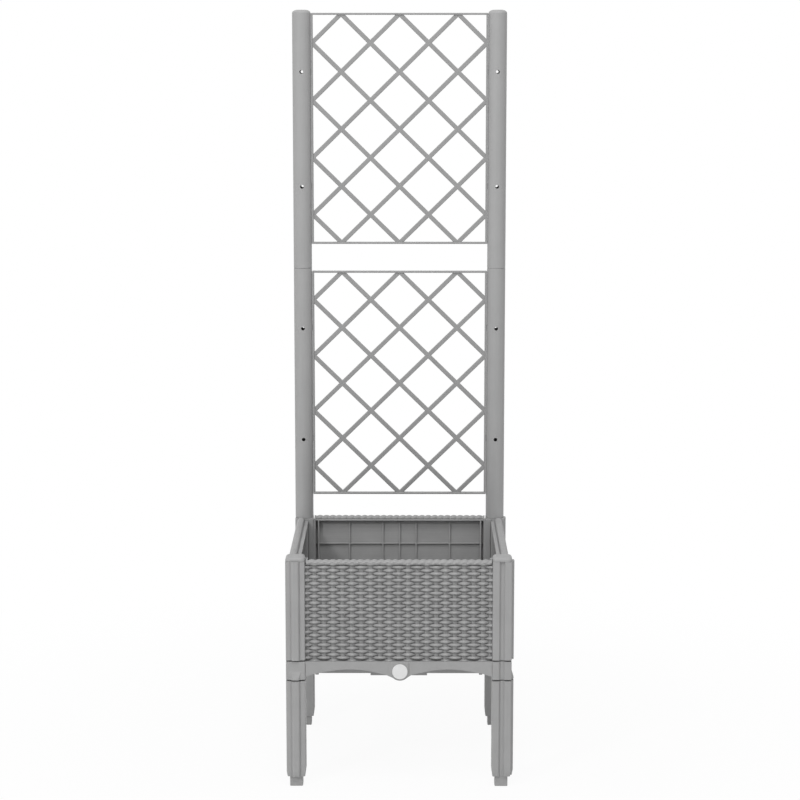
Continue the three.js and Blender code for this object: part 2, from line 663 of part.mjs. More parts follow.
/** Screw holes from front to back, and mortises towards the lattice (inner = +1 or -1). */
function poleCuts(inner) {
  return fixingHeights.flatMap((z) => {
    const front = barAlongY(0, z, HOLE_FRONT / 2, -POLE, 0, HOLE_SIDES);
    const back = barAlongY(0, z, HOLE_BACK / 2, -PAST, POLE, HOLE_SIDES);
    const xs = [POLE / 2 - POLE_WALL - MORTISE_ROOT, POLE / 2 + PAST]
      .map((x) => inner * x).sort((a, b) => a - b);
    const mortise = block(
      [xs[0], -TENON_DEPTH / 2 - FIT, z - TENON_HEIGHT / 2 - FIT],
      [xs[1], TENON_DEPTH / 2 + FIT, z + TENON_HEIGHT / 2 + FIT],
    );
    return [front, back, mortise];
  });
}

/** Revolve (radius, z) points round a pole's axis. */
function revolvePole(points) {
  const profile = points.map(([radius, z]) => new THREE.Vector2(radius, z));
  return solid(new THREE.LatheGeometry(profile, POLE_SIDES).rotateX(Math.PI / 2));
}

/** Lower pole: open tube whose spigot stands in the rear post's bore. */
function lowerPole(inner) {
  const outer = POLE / 2;
  const bore = outer - POLE_WALL;
  const spigot = POLE_FOOT / 2;
  const body = revolvePole([
    [spigot - POLE_WALL, -PEG_LENGTH], [spigot, -PEG_LENGTH], [spigot, 0], [outer, 0],
    [outer, POLE_LENGTH], [bore, POLE_LENGTH], [bore, POLE_WALL + POLE_SHOULDER],
    [spigot - POLE_WALL, 0], [spigot - POLE_WALL, -PEG_LENGTH],
  ]);
  return cut(body, ...poleCuts(inner));
}

/** Upper pole: spigot into the lower one, and a closed, domed top. */
function upperPole(inner) {
  const outer = POLE / 2;
  const bore = outer - POLE_WALL;
  const spigot = bore - FIT;
  const dome = [];
  for (let i = 0; i <= DOME_SEGMENTS; i++) {
    const angle = (i / DOME_SEGMENTS) * (Math.PI / 2);
    dome.push([
      DOME_DISC + (outer - DOME_DISC) * Math.cos(angle),
      POLE_LENGTH - POLE_DOME + POLE_DOME * Math.sin(angle),
    ]);
  }
  const body = revolvePole([
    [0, POLE_LENGTH - POLE_DOME - POLE_WALL], [bore, POLE_LENGTH - POLE_DOME - POLE_WALL],
    [bore, POLE_WALL + POLE_SHOULDER], [spigot - POLE_WALL, 0], [spigot - POLE_WALL, -POLE_SPIGOT],
    [spigot, -POLE_SPIGOT], [spigot, 0], [outer, 0], ...dome, [0, POLE_LENGTH],
  ]);
  return cut(body, ...poleCuts(inner));
}

/** Diagonal lattice: slats at even nodes clipped by four rails, with tenons for the poles. */
function lattice() {
  const half = CORNER - POLE / 2 - LATTICE_GAP;
  const stepX = (2 * half - LATTICE_RAIL) / CELLS_WIDE;
  const stepZ = LATTICE_HEIGHT / CELLS_HIGH;
  const low = LATTICE_BELOW;
  const high = low + LATTICE_HEIGHT;
  const railHalf = LATTICE_RAIL / 2;
  const bar = (x0, x1, z0, z1, depth) => block([x0, -depth / 2, z0], [x1, depth / 2, z1]);

  const slope = Math.atan2(stepZ, stepX);
  const length = 2 * (CELLS_WIDE + CELLS_HIGH) * Math.hypot(stepX, stepZ);
  const slats = [];
  for (let n = 1 - CELLS_HIGH; n < CELLS_WIDE; n += 2) {
    for (const lean of [-1, 1]) {
      const geometry = new THREE.BoxGeometry(length, SLAT_DEPTH, SLAT).rotateY(lean * slope);
      const x = (n - CELLS_WIDE / 2) * stepX * lean;
      slats.push(solid(geometry.translate(x, 0, high)));
    }
  }
  const window = bar(railHalf - half, half - railHalf, low, high, SLAT_DEPTH + PAST);
  const net = join(...slats).intersect(window);
  const rails = [
    bar(-half, half, low - railHalf, low + railHalf, LATTICE_RAIL_DEPTH),
    bar(-half, half, high - railHalf, high + railHalf, LATTICE_RAIL_DEPTH),
    bar(-half, LATTICE_RAIL - half, low, high, LATTICE_RAIL_DEPTH),
    bar(half - LATTICE_RAIL, half, low, high, LATTICE_RAIL_DEPTH),
  ];
  const reach = CORNER - POLE / 2 + TENON_REACH;
  const tenons = fixingHeights.flatMap((z) => [-1, 1].map((side) => {
    const xs = [half - LATTICE_RAIL, reach].map((x) => side * x).sort((a, b) => a - b);
    return bar(xs[0], xs[1], z - TENON_HEIGHT / 2, z + TENON_HEIGHT / 2, TENON_DEPTH);
  }));
  return join(net, ...rails, ...tenons);
}

// ---------------------------------------------------------------- assembly

const planter = new THREE.Group();
planter.name = "planter_with_trellis";
// The ribs on the right make the box wider on that side only.
const box = new THREE.Group();
box.position.x = -RIB_PROUD / 2;
planter.add(box);

const place = (mesh, x, y, z, turn = 0) => {
  mesh.position.set(x, y, z);
  mesh.rotation.z = turn;
  box.add(mesh);
};

place(piece("base_tray", baseTray(), greyPlastic), 0, 0, 0);
for (const corner of CORNERS) {
  const [x, y] = [corner.sx * CORNER, corner.sy * CORNER];
  place(piece(`${corner.name}_leg`, leg(corner), greyPlastic), x, y, 0);
  place(piece(`${corner.name}_post`, post(corner), greyPlastic), x, y, 0);
  if (corner.sy < 0) {
    place(piece(`${corner.name}_post_cap`, cap(), greyPlastic), x, y, 0);
  } else {
    const side = corner.sx < 0 ? "left" : "right";
    place(piece(`${side}_lower_pole`, lowerPole(-corner.sx), polePlastic), x, y, POLE_FROM);
    place(piece(`${side}_upper_pole`, upperPole(-corner.sx), polePlastic), x, y, UPPER_POLE_FROM);
  }
}
for (const { name, turn } of SIDES) {
  const x = HALF * Math.sin(turn);
  const y = -HALF * Math.cos(turn);
  place(piece(`${name}_panel`, panel(), greyPlastic), x, y, PANEL_FROM, turn);
}
place(piece("lower_lattice", lattice(), greyPlastic), 0, CORNER, POLE_FROM);
place(piece("upper_lattice", lattice(), greyPlastic), 0, CORNER, UPPER_POLE_FROM);
place(piece("drain_plug", drainPlug(), whitePlastic), 0, 0, 0);
place(piece("drain_plug_seal", drainSeal(), blackRubber), 0, 0, 0);

export default planter;
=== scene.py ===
"""Raised square planter with a lattice trellis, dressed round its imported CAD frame.

Sizes inside the classes are millimetres and a moulding is scaled to metres when it is
finished. +Z is up and the front faces -Y.
"""

import logging
import math
from dataclasses import dataclass
from enum import Enum
from typing import Any, Callable, Mapping, Sequence

import bmesh
import bpy
from mathutils import Matrix, Vector


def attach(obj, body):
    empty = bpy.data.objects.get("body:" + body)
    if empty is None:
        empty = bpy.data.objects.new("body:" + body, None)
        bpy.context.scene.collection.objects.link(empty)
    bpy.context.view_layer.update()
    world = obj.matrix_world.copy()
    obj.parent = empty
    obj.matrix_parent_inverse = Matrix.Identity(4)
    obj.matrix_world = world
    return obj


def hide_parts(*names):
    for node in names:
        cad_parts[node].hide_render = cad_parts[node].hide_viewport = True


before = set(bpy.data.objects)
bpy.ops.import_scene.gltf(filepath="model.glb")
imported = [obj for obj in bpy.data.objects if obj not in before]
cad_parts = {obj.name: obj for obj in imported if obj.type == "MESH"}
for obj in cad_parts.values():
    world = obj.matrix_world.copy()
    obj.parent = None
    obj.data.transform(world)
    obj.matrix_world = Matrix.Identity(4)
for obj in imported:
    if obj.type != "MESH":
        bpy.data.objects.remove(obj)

LOG = logging.getLogger("planter")
MM = 0.001
PAST = 1.0  # how far a root runs into its neighbour and a tool past a face
UP = (0.0, 0.0, 1.0)
DOWN = (0.0, 0.0, -1.0)
ZERO = (0.0, 0.0, 0.0)
WHITE = (1.0, 1.0, 1.0, 1.0)
CREASE = math.radians(38.0)  # an edge that bends more stays sharp in the shading

Point = tuple[float, float, float]


class Body(Enum):
    """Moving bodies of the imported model."""

    PLANTER = "planter"
    PLUG = "plug"


class Slot(Enum):
    """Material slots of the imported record."""

    PLANTER = "planter_plastic"
    TRELLIS = "trellis_plastic"
    PLUG = "plug_plastic"
    SEAL = "seal_rubber"


class Side(Enum):
    """Sides of the box and the turn in degrees that brings the front one there."""

    FRONT = 0.0
    RIGHT = 90.0
    REAR = 180.0
    LEFT = -90.0


class Corner(Enum):
    """Corners of the box by the signs of x and y."""

    FRONT_LEFT = (-1, -1)
    FRONT_RIGHT = (1, -1)
    REAR_LEFT = (-1, 1)
    REAR_RIGHT = (1, 1)


class Grain(Enum):
    """Direction of the flow marks, as noise scales along x, y and z in 1/m."""

    UPRIGHT = (420.0, 420.0, 9.0)
    LEVEL = (14.0, 14.0, 620.0)
    EVEN = (90.0, 90.0, 90.0)


@dataclass(frozen=True)
class Layout:
    """Sizes that several sub-assemblies share."""

    middle_x: float = -2.0  # middle of the square box; ribs widen only its right
    body: float = 396.0  # width and depth over the columns
    column: float = 34.0  # side of a column
    fit: float = 0.3  # clearance between a piece and its seat
    shadow_gap: float = 2.6  # dark joint between stacked columns
    leg_from: float = 19.0  # lower end of a leg's shaft, above its peg
    leg_length: float = 174.0
    deck: float = 228.2  # top of the base tray
    post_length: float = 176.8
    pole_length: float = 475.9
    lip_inner: float = 25.0  # inner edge of the panels' lips behind the outer face

    @property
    def half(self) -> float:
        """Half the width of the box."""
        return self.body / 2

    @property
    def corner(self) -> float:
        """Distance of a column's axis from the middle of the box."""
        return self.half - self.column / 2

    @property
    def opening(self) -> float:
        """Half the distance between two columns."""
        return self.half - self.column

    @property
    def post_from(self) -> float:
        """Lower end of the posts."""
        return self.deck + self.shadow_gap

    @property
    def post_top(self) -> float:
        """Upper end of the posts."""
        return self.post_from + self.post_length

    def pole_from(self, tier: int) -> float:
        """Lower end of the poles of tier 0 or, above it, 1."""
        return self.post_top + self.fit + tier * (self.pole_length + self.fit)


BOX = Layout()


def mirrored(left: Sequence[Point]) -> list[Point]:
    """Add the mirrored right half to an outline's left half of (x, y, radius) points."""
    return [*left, *[(-x, y, radius) for x, y, radius in reversed(left)]]


def link(name: str, data: bpy.types.ID) -> bpy.types.Object:
    """Put a new object with this data into the scene."""
    made = bpy.data.objects.new(name, data)
    bpy.context.scene.collection.objects.link(made)
    return made


class Moulding:
    """One closed mesh under construction, made with mesh operators."""

    def __init__(self) -> None:
        """Start with an empty mesh."""
        self.bm = bmesh.new()

    @classmethod
    def block(cls, low: Point, high: Point, edge: float = 0.6, segments: int = 2) -> "Moulding":
        """Make a box with rounded edges.

        Args:
            low: Lowest corner.
            high: Highest corner.
            edge: Radius of its edges.
            segments: Facets across each rounded edge.

        Returns:
            The box.
        """
        part = cls()
        bmesh.ops.create_cube(part.bm, size=1.0)
        start, end = Vector(low), Vector(high)
        bmesh.ops.scale(part.bm, vec=end - start, verts=part.bm.verts)
        return part.move(*((start + end) / 2)).soften(edge, segments)

    @classmethod
    def prism(
        cls, outline: Sequence[Point], length: float, edge: float = 0.0, facets: int = 4
    ) -> "Moulding":
        """Extrude a flat outline along +Z from z = 0.

        Args:
            outline: Points (x, y, corner radius) in order round the shape.
            length: Length of the extrusion.
            edge: Radius of the edges round both ends.
            facets: Facets across each rounded corner of the outline.

        Returns:
            The prism.
        """
        part = cls()
        corners = [part.bm.verts.new((x, y, 0.0)) for x, y, _ in outline]
        part.bm.faces.new(corners)
        for radius in sorted({radius for *_, radius in outline if radius > 0}):
            chosen = [v for v, (*_, r) in zip(corners, outline) if r == radius]
            part._bevel(chosen, radius, facets, "VERTICES")
        grown = bmesh.ops.extrude_face_region(part.bm, geom=part.bm.faces[:])["geom"]
        top = [item for item in grown if isinstance(item, bmesh.types.BMVert)]
        bmesh.ops.translate(part.bm, vec=(0.0, 0.0, length), verts=top)
        bmesh.ops.recalc_face_normals(part.bm, faces=part.bm.faces)
        return part.soften(edge, 2, 60.0) if edge > 0 else part

    @classmethod
    def revolve(cls, profile: Sequence[tuple[float, float]], steps: int) -> "Moulding":
        """Spin a profile round the Z axis into a closed body.

        Args:
            profile: Points (radius, height) from axis to axis, or round a closed loop.
            steps: Facets of the full turn.

        Returns:
            The turned body.
        """
        part = cls()
        points = [part.bm.verts.new((radius, 0.0, z)) for radius, z in profile]
        edges = [part.bm.edges.new(pair) for pair in zip(points, points[1:])]
        bmesh.ops.spin(
            part.bm, geom=points + edges, cent=ZERO, axis=UP, dvec=ZERO,
            angle=math.tau, steps=steps, use_merge=True,
        )
        bmesh.ops.remove_doubles(part.bm, verts=part.bm.verts, dist=1e-3)
        bmesh.ops.recalc_face_normals(part.bm, faces=part.bm.faces)
        return part

    @classmethod
    def bar(cls, radius: float, y0: float, y1: float, steps: int) -> "Moulding":
        """Make a round bar along Y from y0 to y1 with a number of facets round it."""
        bar = cls.revolve([(0, 0), (radius, 0), (radius, y1 - y0), (0, y1 - y0)], steps)
        return bar.turn(-90.0, "X").move(y=y0)

    @classmethod
    def rod(cls, length: float, sides: int, rings: int) -> "Moulding":
        """Make a round rod of radius 1 along X with evenly spaced rings.

        Args:
            length: Length, centred on the origin.
            sides: Facets round the rod.
            rings: Lengthwise divisions.

        Returns:
            The rod.
        """
        part = cls()
        bmesh.ops.create_cone(
            part.bm, cap_ends=True, segments=sides, radius1=1.0, radius2=1.0, depth=length
        )
        lengthwise = [e for e in part.bm.edges if abs(e.verts[0].co.z - e.verts[1].co.z) > 1.0]
        bmesh.ops.subdivide_edges(part.bm, edges=lengthwise, cuts=rings - 1)
        return part.turn(90.0, "Y")

    def _bevel(self, chosen: list[Any], offset: float, segments: int, affect: str) -> None:
        """Round chosen edges or corners."""
        bmesh.ops.bevel(
            self.bm, geom=chosen, offset=offset, offset_type="OFFSET", segments=segments,
            profile=0.5, affect=affect, clamp_overlap=True, material=-1,
        )

    def soften(self, edge: float, segments: int = 2, angle: float = 30.0) -> "Moulding":
        """Round every edge that is sharper than an angle.

        Args:
            edge: Radius of the rounding.
            segments: Facets across it.
            angle: Smallest angle in degrees between two faces that counts as an edge.

        Returns:
            This moulding.
        """
        least = math.radians(angle)
        sharp = [e for e in self.bm.edges if e.is_manifold and e.calc_face_angle(0.0) > least]
        self._bevel(sharp, edge, segments, "EDGES")
        return self

    def turn(self, degrees: float, axis: str = "Z") -> "Moulding":
        """Turn the mesh about an axis through the origin and return it."""
        matrix = Matrix.Rotation(math.radians(degrees), 3, axis)
        bmesh.ops.rotate(self.bm, cent=ZERO, matrix=matrix, verts=self.bm.verts)
        return self

    def move(self, x: float = 0.0, y: float = 0.0, z: float = 0.0) -> "Moulding":
        """Shift the mesh and return it."""
        bmesh.ops.translate(self.bm, vec=(x, y, z), verts=self.bm.verts)
        return self

    def mirror_y(self) -> "Moulding":
        """Mirror the mesh front to back, faces outwards again, and return it."""
        bmesh.ops.scale(self.bm, vec=(1.0, -1.0, 1.0), verts=self.bm.verts)
        bmesh.ops.reverse_faces(self.bm, faces=self.bm.faces)
        return self

    def reshape(self, place: Callable[[Vector], Vector]) -> "Moulding":
        """Move every vertex by a rule from old place to new, and return the mesh."""
        for vert in self.bm.verts:
            vert.co = place(vert.co)
        return self

    def split(self, point: Point, normal: Point, clear: bool = False) -> "Moulding":
        """Divide the faces along a plane, clear what lies beyond it if asked, and return."""
        every = self.bm.verts[:] + self.bm.edges[:] + self.bm.faces[:]
        bmesh.ops.bisect_plane(
            self.bm, geom=every, plane_co=point, plane_no=normal, clear_outer=clear
        )
        return self

    def trim(self, point: Point, normal: Point) -> "Moulding":
        """Cut away what lies beyond a plane and close the cut.

        Args:
            point: A point of the plane.
            normal: Direction that is cut away.

        Returns:
            This moulding.
        """
        self.split(point, normal, clear=True)
        open_edges = [e for e in self.bm.edges if e.is_boundary]
        bmesh.ops.holes_fill(self.bm, edges=open_edges, sides=0)
        bmesh.ops.recalc_face_normals(self.bm, faces=self.bm.faces)
        return self

    def mesh(self, name: str) -> bpy.types.Mesh:
        """Write the construction to a new mesh with this name."""
        mesh = bpy.data.meshes.new(name)
        self.bm.to_mesh(mesh)
        return mesh

    def finish(self, name: str) -> bpy.types.Mesh:
        """Write the construction to a new mesh in metres and free it.

        Args:
            name: Name of the mesh.

        Returns:
            The mesh.
        """
        bmesh.ops.scale(self.bm, vec=(MM, MM, MM), verts=self.bm.verts)
        mesh = self.mesh(name)
        self.bm.free()
        return mesh

    def copy(self) -> "Moulding":
        """Make an independent copy of this moulding."""
        return Moulding().join(self)

    def join(self, *others: "Moulding") -> "Moulding":
        """Add the shells of other mouldings to this one and return it."""
        for other in others:
            mesh = other.mesh("joining")
            self.bm.from_mesh(mesh)
            bpy.data.meshes.remove(mesh)
        return self

    def cut(self, *cutters: "Moulding") -> "Moulding":
        """Merge the shells of this moulding and cut others out of it.

        Args:
            cutters: Closed mouldings to subtract.

        Returns:
            This moulding.
        """
        body = link("cut_body", self.mesh("cut_body"))
        tool = link("cut_tool", Moulding().join(*cutters).mesh("cut_tool"))
        modifier = body.modifiers.new("cut", "BOOLEAN")
        modifier.operation, modifier.solver = "DIFFERENCE", "EXACT"
        modifier.use_self, modifier.object = True, tool
        evaluated = body.evaluated_get(bpy.context.evaluated_depsgraph_get())
        result = bpy.data.meshes.new_from_object(evaluated)
        self.bm.clear()
        self.bm.from_mesh(result)
        meshes = [body.data, tool.data, result]
        for made in (body, tool):
            bpy.data.objects.remove(made)
        for mesh in meshes:
            bpy.data.meshes.remove(mesh)
        return self


def operator(kind: str, swapped: bool = False) -> Callable[["Term", Any], "Term"]:
    """Make an operator of Term.

    Args:
        kind: Operation of its Math node.
        swapped: Whether the other operand comes first.

    Returns:
        The method.
    """

    def method(term: "Term", other: Any) -> "Term":
        """Add a Math node for this term and a number or term."""
        first, second = (other, term) if swapped else (term, other)
        return term.graph.node("ShaderNodeMath", {"operation": kind}, {0: first, 1: second})

    return method


class Term:
    """A shader output that takes part in Python arithmetic."""

    __add__, __radd__ = operator("ADD"), operator("ADD", True)
    __sub__, __rsub__ = operator("SUBTRACT"), operator("SUBTRACT", True)
    __mul__, __rmul__ = operator("MULTIPLY"), operator("MULTIPLY", True)

    def __init__(self, graph: "Graph", socket: bpy.types.NodeSocket) -> None:
        """Wrap one output socket of a graph."""
        self.graph, self.socket = graph, socket

    def clamp(self) -> "Term":
        """Limit the value to 0 to 1."""
        return self.graph.node("ShaderNodeClamp", {}, {"Value": self})

    def ramp(self, low: float, high: float) -> "Term":
        """Map low to 0 and high to 1 with soft ends."""
        inputs = {"Value": self, "From Min": low, "From Max": high}
        return self.graph.node("ShaderNodeMapRange", {"interpolation_type": "SMOOTHSTEP"}, inputs)


class Graph:
    """Node tree of one material or world."""

    def __init__(self, owner: bpy.types.Material | bpy.types.World) -> None:
        """Give a material or world an empty tree and keep it."""
        owner.use_nodes = True
        self.tree = owner.node_tree
        self.tree.nodes.clear()

    def node(
        self,
        kind: str,
        settings: Mapping[str, Any] | None = None,
        inputs: Mapping[str | int, Any] | None = None,
        output: str | int = 0,
    ) -> Term:
        """Add a node.

        Args:
            kind: Node type.
            settings: Properties, set before the sockets.
            inputs: Values or terms by socket name or number.
            output: Socket whose term is returned.

        Returns:
            The chosen output.
        """
        made = self.tree.nodes.new(kind)
        for name, value in (settings or {}).items():
            setattr(made, name, value)
        for key, value in (inputs or {}).items():
            if isinstance(value, Term):
                self.tree.links.new(value.socket, made.inputs[key])
            else:
                made.inputs[key].default_value = value
        return Term(self, made.outputs[output] if made.outputs else None)

    def place(self) -> Term:
        """Object coordinates."""
        return self.node("ShaderNodeTexCoord", output="Object")

    def blend(self, share: Term, first: Any, second: Any) -> Term:
        """Mix two colours by the share of the second."""
        return self.node("ShaderNodeMix", {"data_type": "RGBA"}, {0: share, 6: first, 7: second}, 2)

    def noise(self, where: Term, scale: float, detail: float = 3.0) -> Term:
        """Noise from 0 to 1 with a scale in features for each metre and a number of octaves."""
        inputs = {"Vector": where, "Scale": scale, "Detail": detail, "Roughness": 0.55}
        return self.node("ShaderNodeTexNoise", {}, inputs)

    def stretched(self, where: Term, scale: Point) -> Term:
        """Scale coordinates differently along each axis."""
        inputs = {"Vector": where, "Scale": scale}
        return self.node("ShaderNodeMapping", {"vector_type": "POINT"}, inputs)

    def plastic(
        self,
        body: Term,
        roughness: Term,
        height: Term,
        strength: float,
        depth: float,
        ior: float = 1.5,
    ) -> None:
        """Close the tree with a shader for plastic or rubber.

        Args:
            body: Colour.
            roughness: Roughness.
            height: Relief from 0 to about 1.
            strength: Strength of the relief.
            depth: Its depth in metres.
            ior: Index of refraction.
        """
        inputs = {"Height": height, "Strength": strength, "Distance": depth}
        bump = self.node("ShaderNodeBump", {}, inputs)
        inputs = {"Base Color": body, "Roughness": roughness, "Normal": bump, "IOR": ior}
        shader = self.node("ShaderNodeBsdfPrincipled", {}, inputs)
        self.node("ShaderNodeOutputMaterial", {}, {"Surface": shader})


def grey(level: float) -> tuple[float, float, float, float]:
    """Turn a display level from 0 to 255 into a linear grey."""
    share = level / 255.0
    linear = share / 12.92 if share <= 0.04045 else ((share + 0.055) / 1.055) ** 2.4
    return (linear, linear, linear, 1.0)


@dataclass(frozen=True)
class MouldedPlastic:
    """Fine-grained moulded plastic with flow marks, mottling and pale worn edges."""

    name: str
    tone: float  # display level of the plain surface
    grain: Grain = Grain.EVEN  # direction of the flow marks
    spread: float = 4.0  # of light and dark areas about the tone, in levels
    roughness: float = 0.5
    ior: float = 1.47  # index of refraction
    texture: float = 0.00004  # depth of the fine grain in metres
    wear: float = 10.0  # how much paler an edge is, in levels
    cloud_scale: float = 22.0  # mottles for each metre
    pore_scale: float = 1500.0  # pores for each metre
    scuff_scale: float = 260.0  # scuffs for each metre
    edge_radius: float = 0.0012  # reach of the wear in metres

    def material(self) -> bpy.types.Material:
        """Build the material.

        Returns:
            The finished material.
        """
        material = bpy.data.materials.new(self.name)
        graph = Graph(material)
        where = graph.place()
        clouds = graph.noise(where, self.cloud_scale)
        flow = graph.noise(graph.stretched(where, self.grain.value), 1.0)
        pores = graph.noise(where, self.pore_scale, 2.0)
        edges = self._edges(graph, graph.noise(where, self.scuff_scale))

        shade = (clouds * 0.55 + flow * 0.45).ramp(0.25, 0.75)
        low, high = grey(self.tone - self.spread), grey(self.tone + self.spread)
        body = graph.blend(shade, low, high)
        body = graph.blend(edges, body, grey(self.tone + self.wear))
        roughness = (clouds - 0.5) * 0.14 + (pores - 0.5) * 0.1 + self.roughness - edges * 0.08
        height = pores + flow * 0.6
        graph.plastic(body, roughness.clamp(), height, 0.5, self.texture, self.ior)
        material.diffuse_color = grey(self.tone)
        return material

    def _edges(self, graph: Graph, scuffs: Term) -> Term:
        """Mask of rounded outer edges, broken up by noise.

        Args:
            graph: Node tree.
            scuffs: Noise that breaks the edge up.

        Returns:
            The mask from 0 to 1.
        """
        flat = graph.node("ShaderNodeNewGeometry", output="Normal")
        rounded = graph.node("ShaderNodeBevel", {"samples": 4}, {"Radius": self.edge_radius})
        dot = {"operation": "DOT_PRODUCT"}
        facing = graph.node("ShaderNodeVectorMath", dot, {0: flat, 1: rounded}, "Value")
        return (1.0 - facing).ramp(0.01, 0.12) * scuffs.ramp(0.3, 0.7)


@dataclass(frozen=True)
class Rubber:
    """Matt black rubber with a faint bloom."""

    name: str = "seal_rubber"
    tone: float = 30.0  # display level
    bloom_scale: float = 300.0  # patches for each metre
    texture: float = 0.00005  # depth of its relief in metres

    def material(self) -> bpy.types.Material:
        """Build the material.

        Returns:
            The finished material.
        """
        material = bpy.data.materials.new(self.name)
        graph = Graph(material)
        bloom = graph.noise(graph.place(), self.bloom_scale)
        body = graph.blend(bloom.ramp(0.3, 0.7), grey(self.tone - 6), grey(self.tone + 8))
        graph.plastic(body, bloom * 0.2 + 0.65, bloom, 0.4, self.texture)
        return material


def piece(
    moulding: Moulding,
    name: str,
    node: str,
    material: bpy.types.Material,
    slot: Slot,
    body: Body = Body.PLANTER,
    flat: bool = True,
) -> None:
    """Place a moulding in the scene in place of its CAD node.

    Args:
        moulding: The construction, in millimetres about the middle of the box.
        name: Name of the piece.
        node: CAD node that the piece stands for.
        material: Its material.
        slot: Material slot of the record; not used.
        body: Body that it rides on.
        flat: Whether it has broad flat faces, whose shading is then kept flat.
    """
    moulding.move(x=BOX.middle_x)
    mesh = moulding.finish(name)
    mesh.shade_smooth()
    mesh.set_sharp_from_angle(angle=CREASE)
    mesh.materials.append(material)
    made = link(name, mesh)
    if flat:
        made.modifiers.new("flat_faces", "WEIGHTED_NORMAL").keep_sharp = True
    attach(made, body.value)
    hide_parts(node)
    LOG.info("%s stands for %s with %d faces", name, node, len(mesh.polygons))


